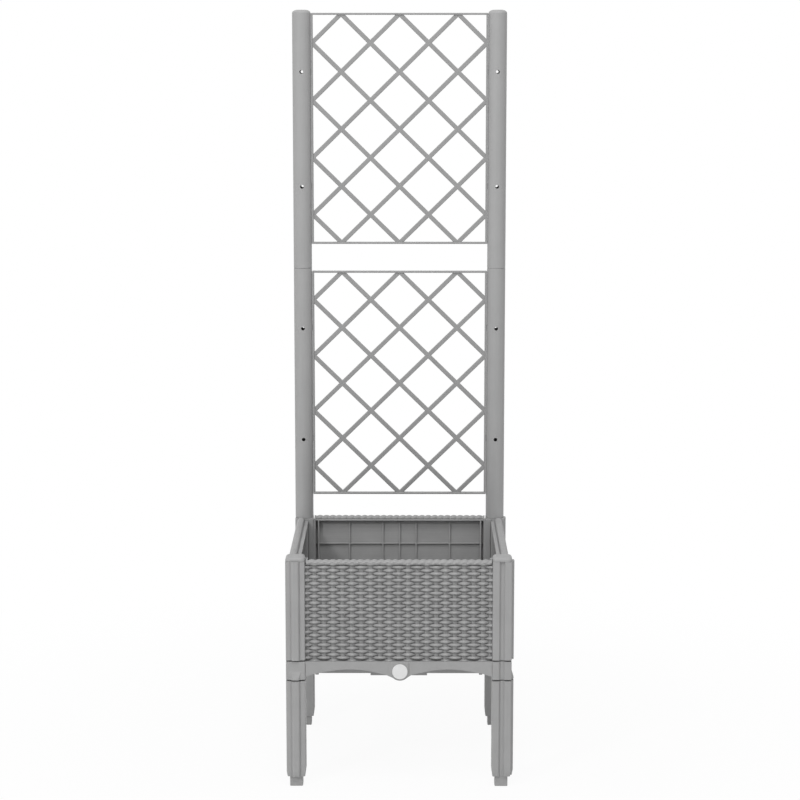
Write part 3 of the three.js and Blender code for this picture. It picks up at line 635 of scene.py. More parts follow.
@dataclass
class Columns:
    """Square corner columns: legs, base blocks and posts, with their joining ribs and grooves."""

    corner_radius: float = 2.2  # of the upright outer edges
    end_round: float = 0.7  # radius round the ends of a shaft and of a flange
    rib_base: float = 15.6  # width of the joining rib
    rib_top: float = 12.0  # its width at the crest
    rib_proud: float = 4.0
    rib_fillet: float = 2.8  # hollow corners at its root
    rib_round: float = 2.2  # corners of its crest
    flute_depth: float = 0.7  # shallow flute along each side of the rib's root
    flute_width: float = 1.6
    flute_rounds: tuple[float, float] = (0.4, 0.8)  # of its floor and outer edge
    groove_mouth: float = 10.6  # width at the face
    groove_floor: float = 4.4  # width of its floor
    groove_depth: float = 4.0
    groove_rounds: tuple[float, float] = (0.9, 0.7)  # at its mouth and floor
    plinth: float = 22.0  # side of the recessed shoulder in the shadow gap
    foot: float = 31.0  # side of the leg's lower end
    taper: float = 10.0  # height of the tapered end
    peg: float = 22.8  # its side
    peg_chamfer: float = 1.2
    root: float = 2.0  # how far a peg or a flange runs into the column
    retainer: float = 4.4  # how far a post's flange reaches over a panel's end
    block_height: float = 32.6  # of a base block
    block_rib: float = 3.0  # height of the plain part of its rib
    block_ramp: float = 12.0  # height over which that rib fades out
    overlay: float = 0.03  # the fading rib's sides stand this far out of the face

    def outline(self, rib: bool = True) -> list[Point]:
        """Plan of the front left column: rib in front, groove on the left.

        Args:
            rib: Whether the rib is part of it.

        Returns:
            Points (x, y, corner radius) about the column's axis.
        """
        h, r = BOX.column / 2, self.corner_radius
        mouth, floor, deep = self.groove_mouth / 2, self.groove_floor / 2, self.groove_depth - h
        edge, root = self.groove_rounds
        groove = [(-h, mouth, edge), (deep, floor, root), (deep, -floor, root), (-h, -mouth, edge)]
        points = [(-h, h, r), *groove, (-h, -h, r)]
        if rib:
            side, deep = self.rib_base / 2, self.flute_depth - h
            wide = side + self.flute_width
            root, edge = self.flute_rounds
            points += mirrored([(-wide, -h, edge), (-side, deep, root), self._rib_line(-h)[1]])
        return points + [(h, -h, r), (h, h, r)]

    def _rib_line(self, face: float) -> list[Point]:
        """Outline of the joining rib on a face at the given depth."""
        crest = -BOX.column / 2 - self.rib_proud
        tip = (-self.rib_top / 2, crest, self.rib_round)
        return mirrored([(-self.rib_base / 2, face, self.rib_fillet), tip])

    def shaft(self, length: float, rib: bool = True) -> Moulding:
        """Extrude the plan upwards from z = 0."""
        return Moulding.prism(self.outline(rib), length, self.end_round)

    def shoulder(self) -> Moulding:
        """Recessed square shoulder below a shaft, seen in the shadow gap."""
        p, drop = self.plinth / 2, BOX.shadow_gap - BOX.fit
        return Moulding.block((-p, -p, -drop), (p, p, PAST), 1.0)

    def stand(self, moulding: Moulding, corner: Corner) -> Moulding:
        """Turn a front left column for a corner and move it there.

        Args:
            moulding: The column about its own axis.
            corner: Corner of the box.

        Returns:
            The placed moulding.
        """
        sx, sy = corner.value
        if sx > 0:
            moulding.turn(90.0)
        if sy > 0:
            moulding.mirror_y()
        return moulding.move(sx * BOX.corner, sy * BOX.corner)

    def leg(self) -> Moulding:
        """Leg with a tapered end and a square peg.

        Returns:
            The front left leg about its own axis.
        """
        shaft = Moulding.prism(self.outline(), BOX.leg_length)
        shaft.split((0.0, 0.0, self.taper), UP)
        low = [v for v in shaft.bm.verts if v.co.z < self.taper / 2]
        share = self.foot / BOX.column
        bmesh.ops.scale(shaft.bm, vec=(share, share, 1.0), verts=low)
        p, drop = self.peg / 2, BOX.leg_from
        peg = Moulding.block((-p, -p, -drop), (p, p, self.root), self.peg_chamfer, 3)
        return shaft.soften(0.6, 2, 60.0).join(peg).move(z=drop)

    def post(self) -> Moulding:
        """Upper post with the two inner flanges that hold the panels.

        Returns:
            The front left post about its own axis.
        """
        length, face = BOX.post_length, BOX.column / 2
        near = BOX.lip_inner + BOX.fit - face
        root, far = face - self.root, face + self.retainer
        shaft = self.shaft(length).join(
            self.shoulder(),
            Moulding.block((root, near, 0), (far, face, length), self.end_round),
            Moulding.block((near, root, 0), (face, far, length), self.end_round),
        )
        return shaft.move(z=BOX.post_from)

    def base_block(self) -> Moulding:
        """Corner block of the base tray; its rib fades out below its top.

        Returns:
            The front left block about its own axis.
        """
        h, top = BOX.column / 2, self.block_rib + self.block_ramp
        side, face = self.rib_base / 2 + self.rib_fillet, -h - self.overlay
        line = [(-side, PAST - h, 0.0), (-side, face, 0.0), *self._rib_line(face)[:2]]
        rib = Moulding.prism(mirrored(line), top)
        rib.trim((0, -h, top), (0, -self.block_ramp, self.rib_proud))
        block = self.shaft(self.block_height, rib=False)
        block.join(rib.soften(self.end_round, 3, 25.0), self.shoulder())
        return block.move(z=BOX.deck - self.block_height)


@dataclass
class CapShape:
    """Domed cap of a front post."""

    skirt: float = 1.6  # height of its straight edge
    dome: float = 6.0  # height and reach of the rounded top
    corner_radius: float = 7.0  # of its upright edges

    def build(self, corner: Corner, steps: int = 10) -> Moulding:
        """Model the cap.

        Args:
            corner: Front corner that it covers.
            steps: Facets across the rounded top.

        Returns:
            The cap in its place.
        """
        h, radius = BOX.column / 2, self.corner_radius
        plan = [(-h, -h, radius), (h, -h, radius), (h, h, radius), (-h, h, radius)]
        part = Moulding.prism(plan, self.skirt, facets=6)
        top = [f for f in part.bm.faces if f.calc_center_median().z > self.skirt - 0.01]
        inwards_before, up_before = 0.0, 0.0
        for i in range(1, steps + 1):
            angle = math.pi / 2 * i / steps
            inwards, up = self.dome * (1 - math.cos(angle)), self.dome * math.sin(angle)
            step = inwards - inwards_before
            bmesh.ops.inset_region(
                part.bm, faces=top, thickness=step, depth=0.0, use_even_offset=True
            )
            verts = list({v for face in top for v in face.verts})
            bmesh.ops.translate(part.bm, vec=(0.0, 0.0, up - up_before), verts=verts)
            inwards_before, up_before = inwards, up
        sx, sy = corner.value
        place = BOX.corner
        return part.move(sx * place, sy * place, BOX.post_top + BOX.fit)


@dataclass
class BaseTray:
    """Base tray: aprons with arches, deck, basin with a sump, drain boss and corner blocks."""

    columns: Columns
    apron_inset: float = 1.5  # apron face behind the blocks' faces
    apron_wall: float = 4.0
    arch_crown: float = 14.0  # apron height at the crown of its arches
    arch_spring: float = 22.4  # apron height at their outer ends
    middle_spring: float = 24.2  # apron height at their inner ends
    corner_drop: float = 27.3  # apron height at the corner blocks
    flare: float = 15.0  # length of the flare at a corner block
    middle: float = 22.0  # half width of the apron between its arches
    slit: float = 0.5  # gap between an end of the apron and the corner block
    deck_wall: float = 5.0
    deck_edge: float = 0.12  # the deck's strips lie this far below the apron's edge
    basin_inset: float = 28.0  # outer face of the basin's wall behind the box face
    basin_wall: float = 4.0
    basin_depth: float = 28.4  # deck to the underside of the basin floor
    basin_floor: float = 3.0
    sump_width: float = 100.0
    sump_length: float = 70.0  # from front to back
    sump_drop: float = 3.8  # its depth below the basin floor
    drain_side: float = 2.0  # place of the drain right of the middle
    drain_drop: float = 16.9  # its centre below the deck
    drain_bore: float = 18.0  # diameter
    barrel: float = 26.0  # outer diameter of the tube round it
    boss_root: float = 34.8  # diameter of the tapered boss where it leaves the apron
    boss_face: float = 28.4  # diameter of its face
    boss_proud: float = 2.0  # how far it stands out of the apron
    boss_neck: float = 12.0  # half width where the apron's round middle meets its slopes
    neck_round: float = 9.0  # radius of the hollow there
    runner_spacing: float = 289.0  # distance between the runners under the basin
    runner_half: float = 3.0  # half the width
    runner_drop: float = 2.8  # how far they stand down from it
    tuck: float = 0.2  # the basin's parts end this far inside each other's faces

    @property
    def drain_height(self) -> float:
        """Height of the drain's centre."""
        return BOX.deck - self.drain_drop

    def _arch(self, start: float, end: float, steps: int = 24) -> list[Point]:
        """Lower edge of an apron along one arch.

        Args:
            start: Place of its left end.
            end: Place of its right end.
            steps: Its divisions.

        Returns:
            Points (x, z, corner radius) from left to right.
        """
        points = []
        for i in range(steps + 1):
            x = start + (end - start) * i / steps
            foot = self.middle_spring if abs(x) < abs(start + end) / 2 else self.arch_spring
            drop = foot + (self.arch_crown - foot) * math.sin(math.pi * i / steps)
            points.append((x, BOX.deck - drop, 0.0))
        return points

    def _apron(self, side: Side) -> Moulding:
        """One apron with its two arches.

        Args:
            side: Side of the box.

        Returns:
            The apron in its place.
        """
        deck, end = BOX.deck, BOX.opening - self.slit
        corner, spring = deck - self.corner_drop, BOX.opening - self.flare
        outline = [(-end, corner, 0.0), *self._arch(-spring, -self.middle)]
        if side is Side.FRONT:
            outline += self._round_middle()
        outline += [*self._arch(self.middle, spring), (end, corner, 0.0)]
        outline += [(end, deck, 0.0), (-end, deck, 0.0)]
        plate = Moulding.prism(outline, self.apron_wall, 0.5).turn(90.0, "X")
        plate.move(y=self.apron_inset + self.apron_wall - BOX.half)
        return plate.turn(side.value)

    def _drain_arc(self, radius: float, reach: float, steps: int) -> list[Point]:
        """Lower arc round the drain.

        Args:
            radius: Its radius.
            reach: How far it goes to each side, at most the radius.
            steps: Its divisions.

        Returns:
            Points (x, z, corner radius) from left to right.
        """
        half_angle = math.asin(min(1.0, reach / radius))
        points = []
        for i in range(steps + 1):
            a = half_angle * (2 * i / steps - 1)
            x, z = radius * math.sin(a), radius * math.cos(a)
            points.append((self.drain_side + x, self.drain_height - z, 0.0))
        return points

    def _round_middle(self) -> list[Point]:
        """Rounded middle of the front apron, with hollow slopes up to the arches."""
        first, *arc, last = self._drain_arc(self.boss_root / 2, self.boss_neck, 24)
        return [(*first[:2], self.neck_round), *arc, (*last[:2], self.neck_round)]

    def _deck_strip(self, side: Side) -> Moulding:
        """Deck between two corner blocks, from the apron to the basin.

        Args:
            side: Side of the box.

        Returns:
            The strip in its place.
        """
        o, top, half = BOX.opening + PAST, BOX.deck - self.deck_edge, BOX.half
        inner = self.basin_inset + self.basin_wall - self.tuck - half
        low = (-o, self.apron_inset + 0.3 - half, top - self.deck_wall)
        return Moulding.block(low, (o, inner, top), 0.4).turn(side.value)

    def _boss(self, rooted: float = 0.5) -> Moulding:
        """Tapered boss round the drain, flush with the deck above.

        Args:
            rooted: How far it reaches into the apron.

        Returns:
            The boss in its place.
        """
        x, deck, centre = self.drain_side, BOX.deck - 0.1, self.drain_height
        face, root = self.boss_face / 2, self.boss_root / 2
        thick = self.boss_proud + rooted

        def taper(co: Vector) -> Vector:
            """Draw the front outline in to the size of the face."""
            if co.z < thick / 2:
                return co
            share = face / root
            height = co.y if co.y > centre else centre + (co.y - centre) * share
            return Vector((x + (co.x - x) * share, height, co.z))

        arc = self._drain_arc(root, root, 32)
        plate = Moulding.prism([(x - root, deck, 0.0), *arc, (x + root, deck, 0.0)], thick)
        plate.reshape(taper).soften(0.6, 3, 25.0)
        return plate.turn(90.0, "X").move(y=self.apron_inset + rooted - BOX.half)

    def _along_drain(self, diameter: float, y0: float, y1: float) -> Moulding:
        """Round bar on the drain's axis from y0 to y1."""
        bar = Moulding.bar(diameter / 2, y0, y1, 48)
        return bar.move(x=self.drain_side, z=self.drain_height)

    def build(self) -> Moulding:
        """Model the whole tray.

        Returns:
            The tray in its place.
        """
        half, deck, wall, tuck = BOX.half, BOX.deck, self.basin_wall, self.tuck
        outer = half - self.basin_inset
        inner = outer - wall
        low, floor = deck - self.basin_depth, deck - self.basin_depth + self.basin_floor
        sump, sump_low = self.sump_width / 2, low - self.sump_drop
        sump_back = self.sump_length - outer
        bore = (self.drain_bore, -half - 5, PAST - inner)
        basin = Moulding.block((-outer, -outer, low), (outer, outer, deck - tuck), 1.2, 3)
        basin.join(
            Moulding.block((-sump, tuck - outer, sump_low), (sump, sump_back, low + 2)),
            self._boss(),
            self._along_drain(self.barrel, self.apron_inset + PAST - half, PAST - outer),
        )
        sump_inner = (wall - sump, -inner, sump_low + self.basin_floor)
        basin.cut(
            Moulding.block((-inner, -inner, floor), (inner, inner, deck + 5), 3.0, 3),
            Moulding.block(sump_inner, (sump - wall, sump_back - wall, deck), 1.0),
            self._along_drain(*bore),
        )
        basin.join(self._apron(Side.FRONT).cut(self._along_drain(*bore)))
        ends = (0.3 - outer, low - self.runner_drop), (outer - 0.3, low + PAST)
        for sign in (-1, 1):
            x, w = sign * self.runner_spacing / 2, self.runner_half
            basin.join(Moulding.block((x - w, *ends[0]), (x + w, *ends[1])))
        return basin.join(
            *[self._apron(side) for side in Side if side is not Side.FRONT],
            *[self._deck_strip(side) for side in Side],
            *[self.columns.stand(self.columns.base_block(), corner) for corner in Corner],
        )


@dataclass
class DrainPlug:
    """Round drain plug with its seal."""

    tray: BaseTray
    head: float = 27.0  # its diameter
    thickness: float = 3.2  # of the head
    reach: float = 2.0  # how far the plug reaches into the basin
    seal: float = 1.9  # thickness of the seal
    seal_from_end: float = 6.0  # seal's place before the inner end
    groove_floor: float = 0.2  # play under the seal
    groove_side: float = 0.15  # play on each side of it
    squeeze: float = 0.1  # gap between the seal and the bore

    @property
    def _tail(self) -> float:
        """Depth of the plug's inner end."""
        tray = self.tray
        return tray.basin_inset + tray.basin_wall + self.reach - BOX.half

    def _aim(self, part: Moulding) -> Moulding:
        """Lay a part that was turned about Z along the drain's axis."""
        return part.turn(-90.0, "X").move(self.tray.drain_side, 0.0, self.tray.drain_height)

    def build(self) -> Moulding:
        """Model the plug.

        Returns:
            The plug in its place.
        """
        tray, bore, fit = self.tray, self.tray.drain_bore / 2, BOX.fit
        back = tray.apron_inset - tray.boss_proud - BOX.half - fit
        head, shank, tail = self.head / 2, bore - fit, self._tail
        middle, half = tail - self.seal_from_end, self.seal / 2 + self.groove_side
        floor = bore - self.seal - self.groove_floor
        profile = [
            (0, back - self.thickness), (head, back - self.thickness), (head, back),
            (shank, back), (shank, middle - half), (floor, middle - half),
            (floor, middle + half), (shank, middle + half), (shank, tail), (0, tail),
        ]
        return self._aim(Moulding.revolve(profile, 96).soften(0.7, 4, 40.0))

    def ring(self, facets: int = 12) -> Moulding:
        """Model the seal.

        Args:
            facets: Facets of its section.

        Returns:
            The seal in its place.
        """
        radius = self.seal / 2
        middle = self.tray.drain_bore / 2 - self.squeeze - radius
        height = self._tail - self.seal_from_end
        angles = [math.tau * i / facets for i in range(facets + 1)]
        loop = [(middle + radius * math.cos(a), height + radius * math.sin(a)) for a in angles]
        return self._aim(Moulding.revolve(loop, 64))


@dataclass
class WovenPanel:
    """Side panel: woven face, rope rim with an inner lip, and stiffening ribs.

    Depths are measured inwards from the outer face of the columns and heights over the
    panel's foot.
    """

    foot_gap: float = 0.3
    rows: int = 31  # of strands
    row_pitch: float = 5.82  # distance between strands
    top_strand: float = 166.8  # height of the second strand; the first is under the rope
    stake_pitch: float = 16.4  # distance between upright stakes
    crest: float = 4.3  # depth of a strand's front where it passes over a stake
    dip: float = 12.7  # depth of its front behind the next stake
    strand_thick: float = 3.0  # half the thickness of a strand at its crests
    strand_thin: float = 0.2  # half its thickness where it is hidden
    strand_wide: float = 2.4  # half its height where it passes over
    strand_narrow: float = 1.7  # half its height where it passes behind
    long_strand: Point = (0.5, 0.75, 0.6)  # lean, power and lift of those over the middle
    short_strand: Point = (1.3, 1.15, 0.0)  # the same of the strands between them
    stake_front: float = 8.0  # depth of a stake just above a strand that passes over it
    stake_deep: float = 12.4  # its depth just below the next such strand
    stake_half: float = 3.8  # half the width
    stake_end: float = 3.0  # from a column to the middle of the stake beside it
    sheet_front: float = 12.5  # front of the closed sheet behind the weave
    sheet_back: float = 13.3
    rope_pitch: float = 12.15  # distance between the rope's turns
    rope_low: float = 171.4  # lower side of the rope
    rope_top: float = 181.3
    rope_outer: float = 4.0  # depth of its outer side
    rope_inner: float = 17.3
    rope_back: float = 0.7  # power that makes its inner side steeper than a half ellipse
    rope_groove: float = 0.26  # depth between two turns, as a share of the radius
    rope_end: float = 2.0  # from a column to the rope's end
    lip_top: float = 174.8  # height of the lip behind the rope
    lip_thickness: float = 1.8
    lip_outer: float = 18.6  # its outer edge, beyond the gutter along the rope
    gutter: float = 2.2  # depth of the gutter below the lip
    rib: float = 2.4  # thickness
    rib_back: float = 17.2  # depth of their backs
    foot_back: float = 22.0  # depth of the foot's back
    rib_places: tuple[float, ...] = (-95.4, -31.6, 0.0, 31.6, 95.4)
    end_rib: float = 8.0  # from a panel end to the second deep rib beside it
    cross_rib: float = 127.1  # height of the level rib
    cross_rib_thickness: float = 1.3
    bond: float = 0.5  # how far ribs, stakes and lip run into what carries them

    def _strand(self, offset: float, lean: float, power: float, lift: float) -> Moulding:
        """One strand that waves over and under the stakes.

        Args:
            offset: Place of one of its crests along the panel.
            lean: How much higher its middle is than its front where it passes over.
            power: Power of its wave; below 1 the crests are longer.
            lift: How much higher it lies than its row.

        Returns:
            The strand at height 0.
        """
        steps_per_stake, sides = 8, 10
        reach = BOX.opening - 0.3
        rings = round(2 * reach / self.stake_pitch * steps_per_stake)

        def weave(co: Vector) -> Vector:
            """Bend the rod and thin it where it passes behind a stake."""
            wave = ((1 + math.cos(math.pi * (co.x - offset) / self.stake_pitch)) / 2) ** power
            front = self.dip + (self.crest - self.dip) * wave
            tall = self.strand_narrow + (self.strand_wide - self.strand_narrow) * wave
            deep = self.strand_thin + (self.strand_thick - self.strand_thin) * wave
            rise = lift + tall - self.strand_narrow + (1 + co.y) * lean * wave
            return Vector((co.x, front + deep * (1 + co.y), co.z * tall + rise))

        return Moulding.rod(2 * reach, sides, rings).reshape(weave)

    def _weave(self) -> Moulding:
        """All strands and stakes of the face.

        Returns:
            The weave, cut level with the panel's foot.
        """
        short = self._strand(self.stake_pitch, *self.short_strand)
        strands = short, self._strand(0.0, *self.long_strand)
        weave = Moulding()
        for row in range(self.rows):
            height = self.top_strand + self.row_pitch * (1 - row)
            weave.join(strands[row % 2].copy().move(z=height))
        weave.trim(ZERO, DOWN)
        crossings = self.top_strand + self.long_strand[2], self.top_strand + self.row_pitch
        stakes = [self._stake(crossing) for crossing in crossings]
        count = int(BOX.opening // self.stake_pitch)
        last = BOX.opening - self.stake_end
        for i in range(-count, count + 1):
            x = min(max(i * self.stake_pitch, -last), last)
            weave.join(stakes[i % 2].copy().move(x=x))
        return weave

    def _stake(self, crossing: float, rings: int = 104) -> Moulding:
        """One upright stake, deeper below each strand that passes over it.

        Args:
            crossing: Height at which a strand passes over it.
            rings: Divisions of its length.

        Returns:
            The stake at the middle of the panel.
        """
        root = self.sheet_front + self.bond

        def recess(co: Vector) -> Vector:
            """Set the front back by the height over the last crossing."""
            above = (co.z - crossing) / (2 * self.row_pitch) % 1.0
            front = self.stake_front + (self.stake_deep - self.stake_front) * above
            return Vector((co.x * self.stake_half, front + (root - front) * (1 + co.y) / 2, co.z))

        stake = Moulding.rod(self.rope_low - PAST, 8, rings).turn(90.0, "Y")
        return stake.move(z=self.rope_low / 2).reshape(recess)

    def _rope(self) -> Moulding:
        """Twisted rope along the top edge.

        Returns:
            The rope in its place on the panel.
        """
        steps_per_turn, sides = 10, 18
        reach = BOX.opening - self.rope_end
        rings = round(2 * reach / self.rope_pitch * steps_per_turn)
        half_deep = (self.rope_inner - self.rope_outer) / 2
        half_tall = (self.rope_top - self.rope_low) / 2

        def twist(co: Vector) -> Vector:
            """Swell the rod into the turns of a rope."""
            around = math.atan2(co.z, co.y)
            turns = co.x / self.rope_pitch + 0.5 + (around - math.pi / 2) / (4 * math.pi)
            groove = self.rope_groove * (1 + 0.6 * co.z)
            size = 1 - groove * (1 - abs(math.cos(math.pi * turns)) ** 0.7)
            across = co.y ** self.rope_back if co.y > 0 else co.y
            y = self.rope_outer + half_deep * (1 + across * size)
            return Vector((co.x, y, self.rope_low + half_tall * (1 + co.z * size)))

        return Moulding.rod(2 * reach, sides, rings).reshape(twist)

    def build(self) -> Moulding:
        """Model the front panel.

        Returns:
            The panel, facing -Y at its own height, over the middle of the box.
        """
        end = BOX.opening - 0.5
        root, back, inner = self.sheet_back - self.bond, self.rib_back, BOX.lip_inner
        under = self.lip_top - self.lip_thickness + self.bond
        half, gutter, level = self.rib / 2, self.lip_top - self.gutter, self.cross_rib_thickness / 2
        boxes = [
            ((self.sheet_front, 0), (self.sheet_back, self.rope_low + 2), 0.3, 2),
            ((root, gutter - 1.5), (self.lip_outer + PAST, gutter), 0.3, 2),
            ((self.lip_outer, under - self.bond), (inner, self.lip_top), 0.7, 3),
            ((root, 0), (self.foot_back, self.rib), 0.4, 2),
            ((root, self.cross_rib - level), (back, self.cross_rib + level), 0.3, 2),
        ]
        panel = self._weave().join(self._rope())
        for low, high, edge, segments in boxes:
            panel.join(Moulding.block((-end, *low), (end, *high), edge, segments))
        for x in self.rib_places:
            panel.join(Moulding.block((x - half, root, 1), (x + half, back + 0.1, under), 0.4))
        for x in (-end, self.end_rib - end, end - self.rib, end - self.rib - self.end_rib):
            panel.join(Moulding.block((x, root, 0.5), (x + self.rib, inner - 0.2, under), 0.4))
        return panel.move(y=-BOX.half, z=BOX.deck + self.foot_gap)


@dataclass
class Pole:
    """Round trellis pole with screw holes and, on the upper one, a domed end."""

    diameter: float = 34.0
    wall: float = 3.0
    spigot: float = 22.8  # diameter of the spigot that stands in the piece below
    spigot_length: float = 19.0
    foot_wall: float = 5.0  # thickness of the pole's foot over the spigot
    edge: float = 0.5  # chamfer of its ends
    dome: float = 6.0  # height of the domed end
    disc: float = 7.0  # radius of the flat on top of it
    hole_front: float = 7.0  # diameter in front
    hole_back: float = 5.0  # diameter behind
    holes: tuple[float, ...] = (152.0, 363.0)  # their heights over the pole's lower end

    def _end(self, tier: int, steps: int = 10) -> list[tuple[float, float]]:
        """Profile of the upper end.

        Args:
            tier: 0 for the open end of the lower pole and 1 for the domed one.
            steps: Facets across the dome.

        Returns:
            Points (radius, height) from the outer side to the inner one.
        """
        outer, length = self.diameter / 2, BOX.pole_length
        bore = outer - self.wall
        if tier == 0:
            return [(outer, length - self.edge), (outer - self.edge, length), (bore, length)]
        under = length - self.dome - self.wall
        dome = []
        for i in range(steps + 1):
            angle = math.pi / 2 * i / steps
            radius = self.disc + (outer - self.disc) * math.cos(angle)
            dome.append((radius, length - self.dome + self.dome * math.sin(angle)))
        return [*dome, (0, length), (0, under), (bore, under)]

    def build(self, sign: int, tier: int) -> Moulding:
        """Model one pole.

        Args:
            sign: -1 for the left pole and 1 for the right one.
            tier: 0 for the lower pole and 1 for the upper one.

        Returns:
            The pole in its place.
        """
        outer, foot, drop = self.diameter / 2, self.spigot / 2, self.spigot_length
        start = (outer - self.wall, self.foot_wall)
        profile = [
            start, (foot - self.wall, 0), (foot - self.wall, -drop), (foot, -drop), (foot, 0),
            (outer - self.edge, 0), (outer, self.edge), *self._end(tier), start,
        ]
        drills, far = [], outer + 3
        for z in self.holes:
            drills.append(Moulding.bar(self.hole_front / 2, -far, 0, 32).move(z=z))
            drills.append(Moulding.bar(self.hole_back / 2, -PAST, far, 32).move(z=z))
        tube = Moulding.revolve(profile, 96).cut(*drills)
        place = BOX.corner
        return tube.move(sign * place, place, BOX.pole_from(tier))


@dataclass
class Lattice:
    """Diagonal lattice panel between the poles."""

    below: float = 46.5  # lower end of a pole to the middle of the bottom rail
    above: float = 7.4  # middle of the top rail to the upper end of the pole
    gap: float = 0.4  # gap between a side rail and its pole
    pole: float = 34.0  # diameter
    rail: float = 3.6  # height or width of a rail
    rail_deep: float = 9.0
    rail_step: float = 0.2  # side rails lie this far behind the faces of the others
    slat: float = 8.0  # width
    slat_deep: float = 5.0
    slat_step: float = 0.12  # left-leaning slats lie this far behind the others
    cells_wide: int = 6  # half diamonds across
    cells_high: int = 8  # half diamonds from rail to rail
    tenon_high: float = 11.4
    tenon_deep: float = 6.4
    tenon_reach: float = 4.3  # how far it reaches into the pole
    tenon_places: tuple[float, ...] = (0.25, 0.75)  # shares of the height between rails

    def _slats(self, lean: int, half: float, height: float) -> Moulding:
        """All slats that lean one way, ending in the middle of the rails.

        Args:
            lean: 1 for slats that rise to the right and -1 to the left.
            half: Half the width over the side rails.
            height: Distance between the middles of the top and bottom rails.

        Returns:
            The slats, with the bottom rail's middle at height 0.
        """
        step_x = (2 * half - self.rail) / self.cells_wide
        step_z = height / self.cells_high
        slope = math.degrees(math.atan2(step_z, step_x))
        x = (self.cells_wide + self.cells_high) * math.hypot(step_x, step_z)
        y = self.slat_deep / 2 - (0.0 if lean > 0 else self.slat_step)
        z = self.slat / 2
        slats = Moulding()
        for n in range(1 - self.cells_high, self.cells_wide, 2):
            start = (n - self.cells_wide / 2) * step_x
            bar = Moulding.block((-x, -y, -z), (x, y, z), 1.3, 3).turn(lean * slope, "Y")
            slats.join(bar.move(x=lean * start, z=height))
        side = half - self.rail / 2
        slats.trim((side, 0, 0), (1, 0, 0)).trim((-side, 0, 0), (-1, 0, 0))
        return slats.trim((0, 0, height), UP).trim(ZERO, DOWN)

    def build(self, tier: int) -> Moulding:
        """Model one lattice panel.

        Args:
            tier: 0 for the lower panel and 1 for the upper one.

        Returns:
            The panel in its place.
        """
        half = BOX.corner - self.pole / 2 - self.gap
        height = BOX.pole_length - self.below - self.above
        r, d = self.rail / 2, self.rail_deep / 2
        panel = self._slats(1, half, height).join(self._slats(-1, half, height))
        for z in (0.0, height):
            panel.join(Moulding.block((-half, -d, z - r), (half, d, z + r), 1.0, 3))
        d -= self.rail_step
        y, h = self.tenon_deep / 2, self.tenon_high / 2
        for side in (-1, 1):
            low, high = sorted((side * half, side * (half - self.rail)))
            panel.join(Moulding.block((low, -d, -1.0), (high, d, height + 1.0), 1.0, 3))
            reach = half + self.gap + self.tenon_reach
            near, far = sorted((side * (half - self.rail / 2), side * reach))
            for z in (share * height for share in self.tenon_places):
                panel.join(Moulding.block((near, -y, z - h), (far, y, z + h), 0.4))
        return panel.move(y=BOX.corner, z=BOX.pole_from(tier) + self.below)


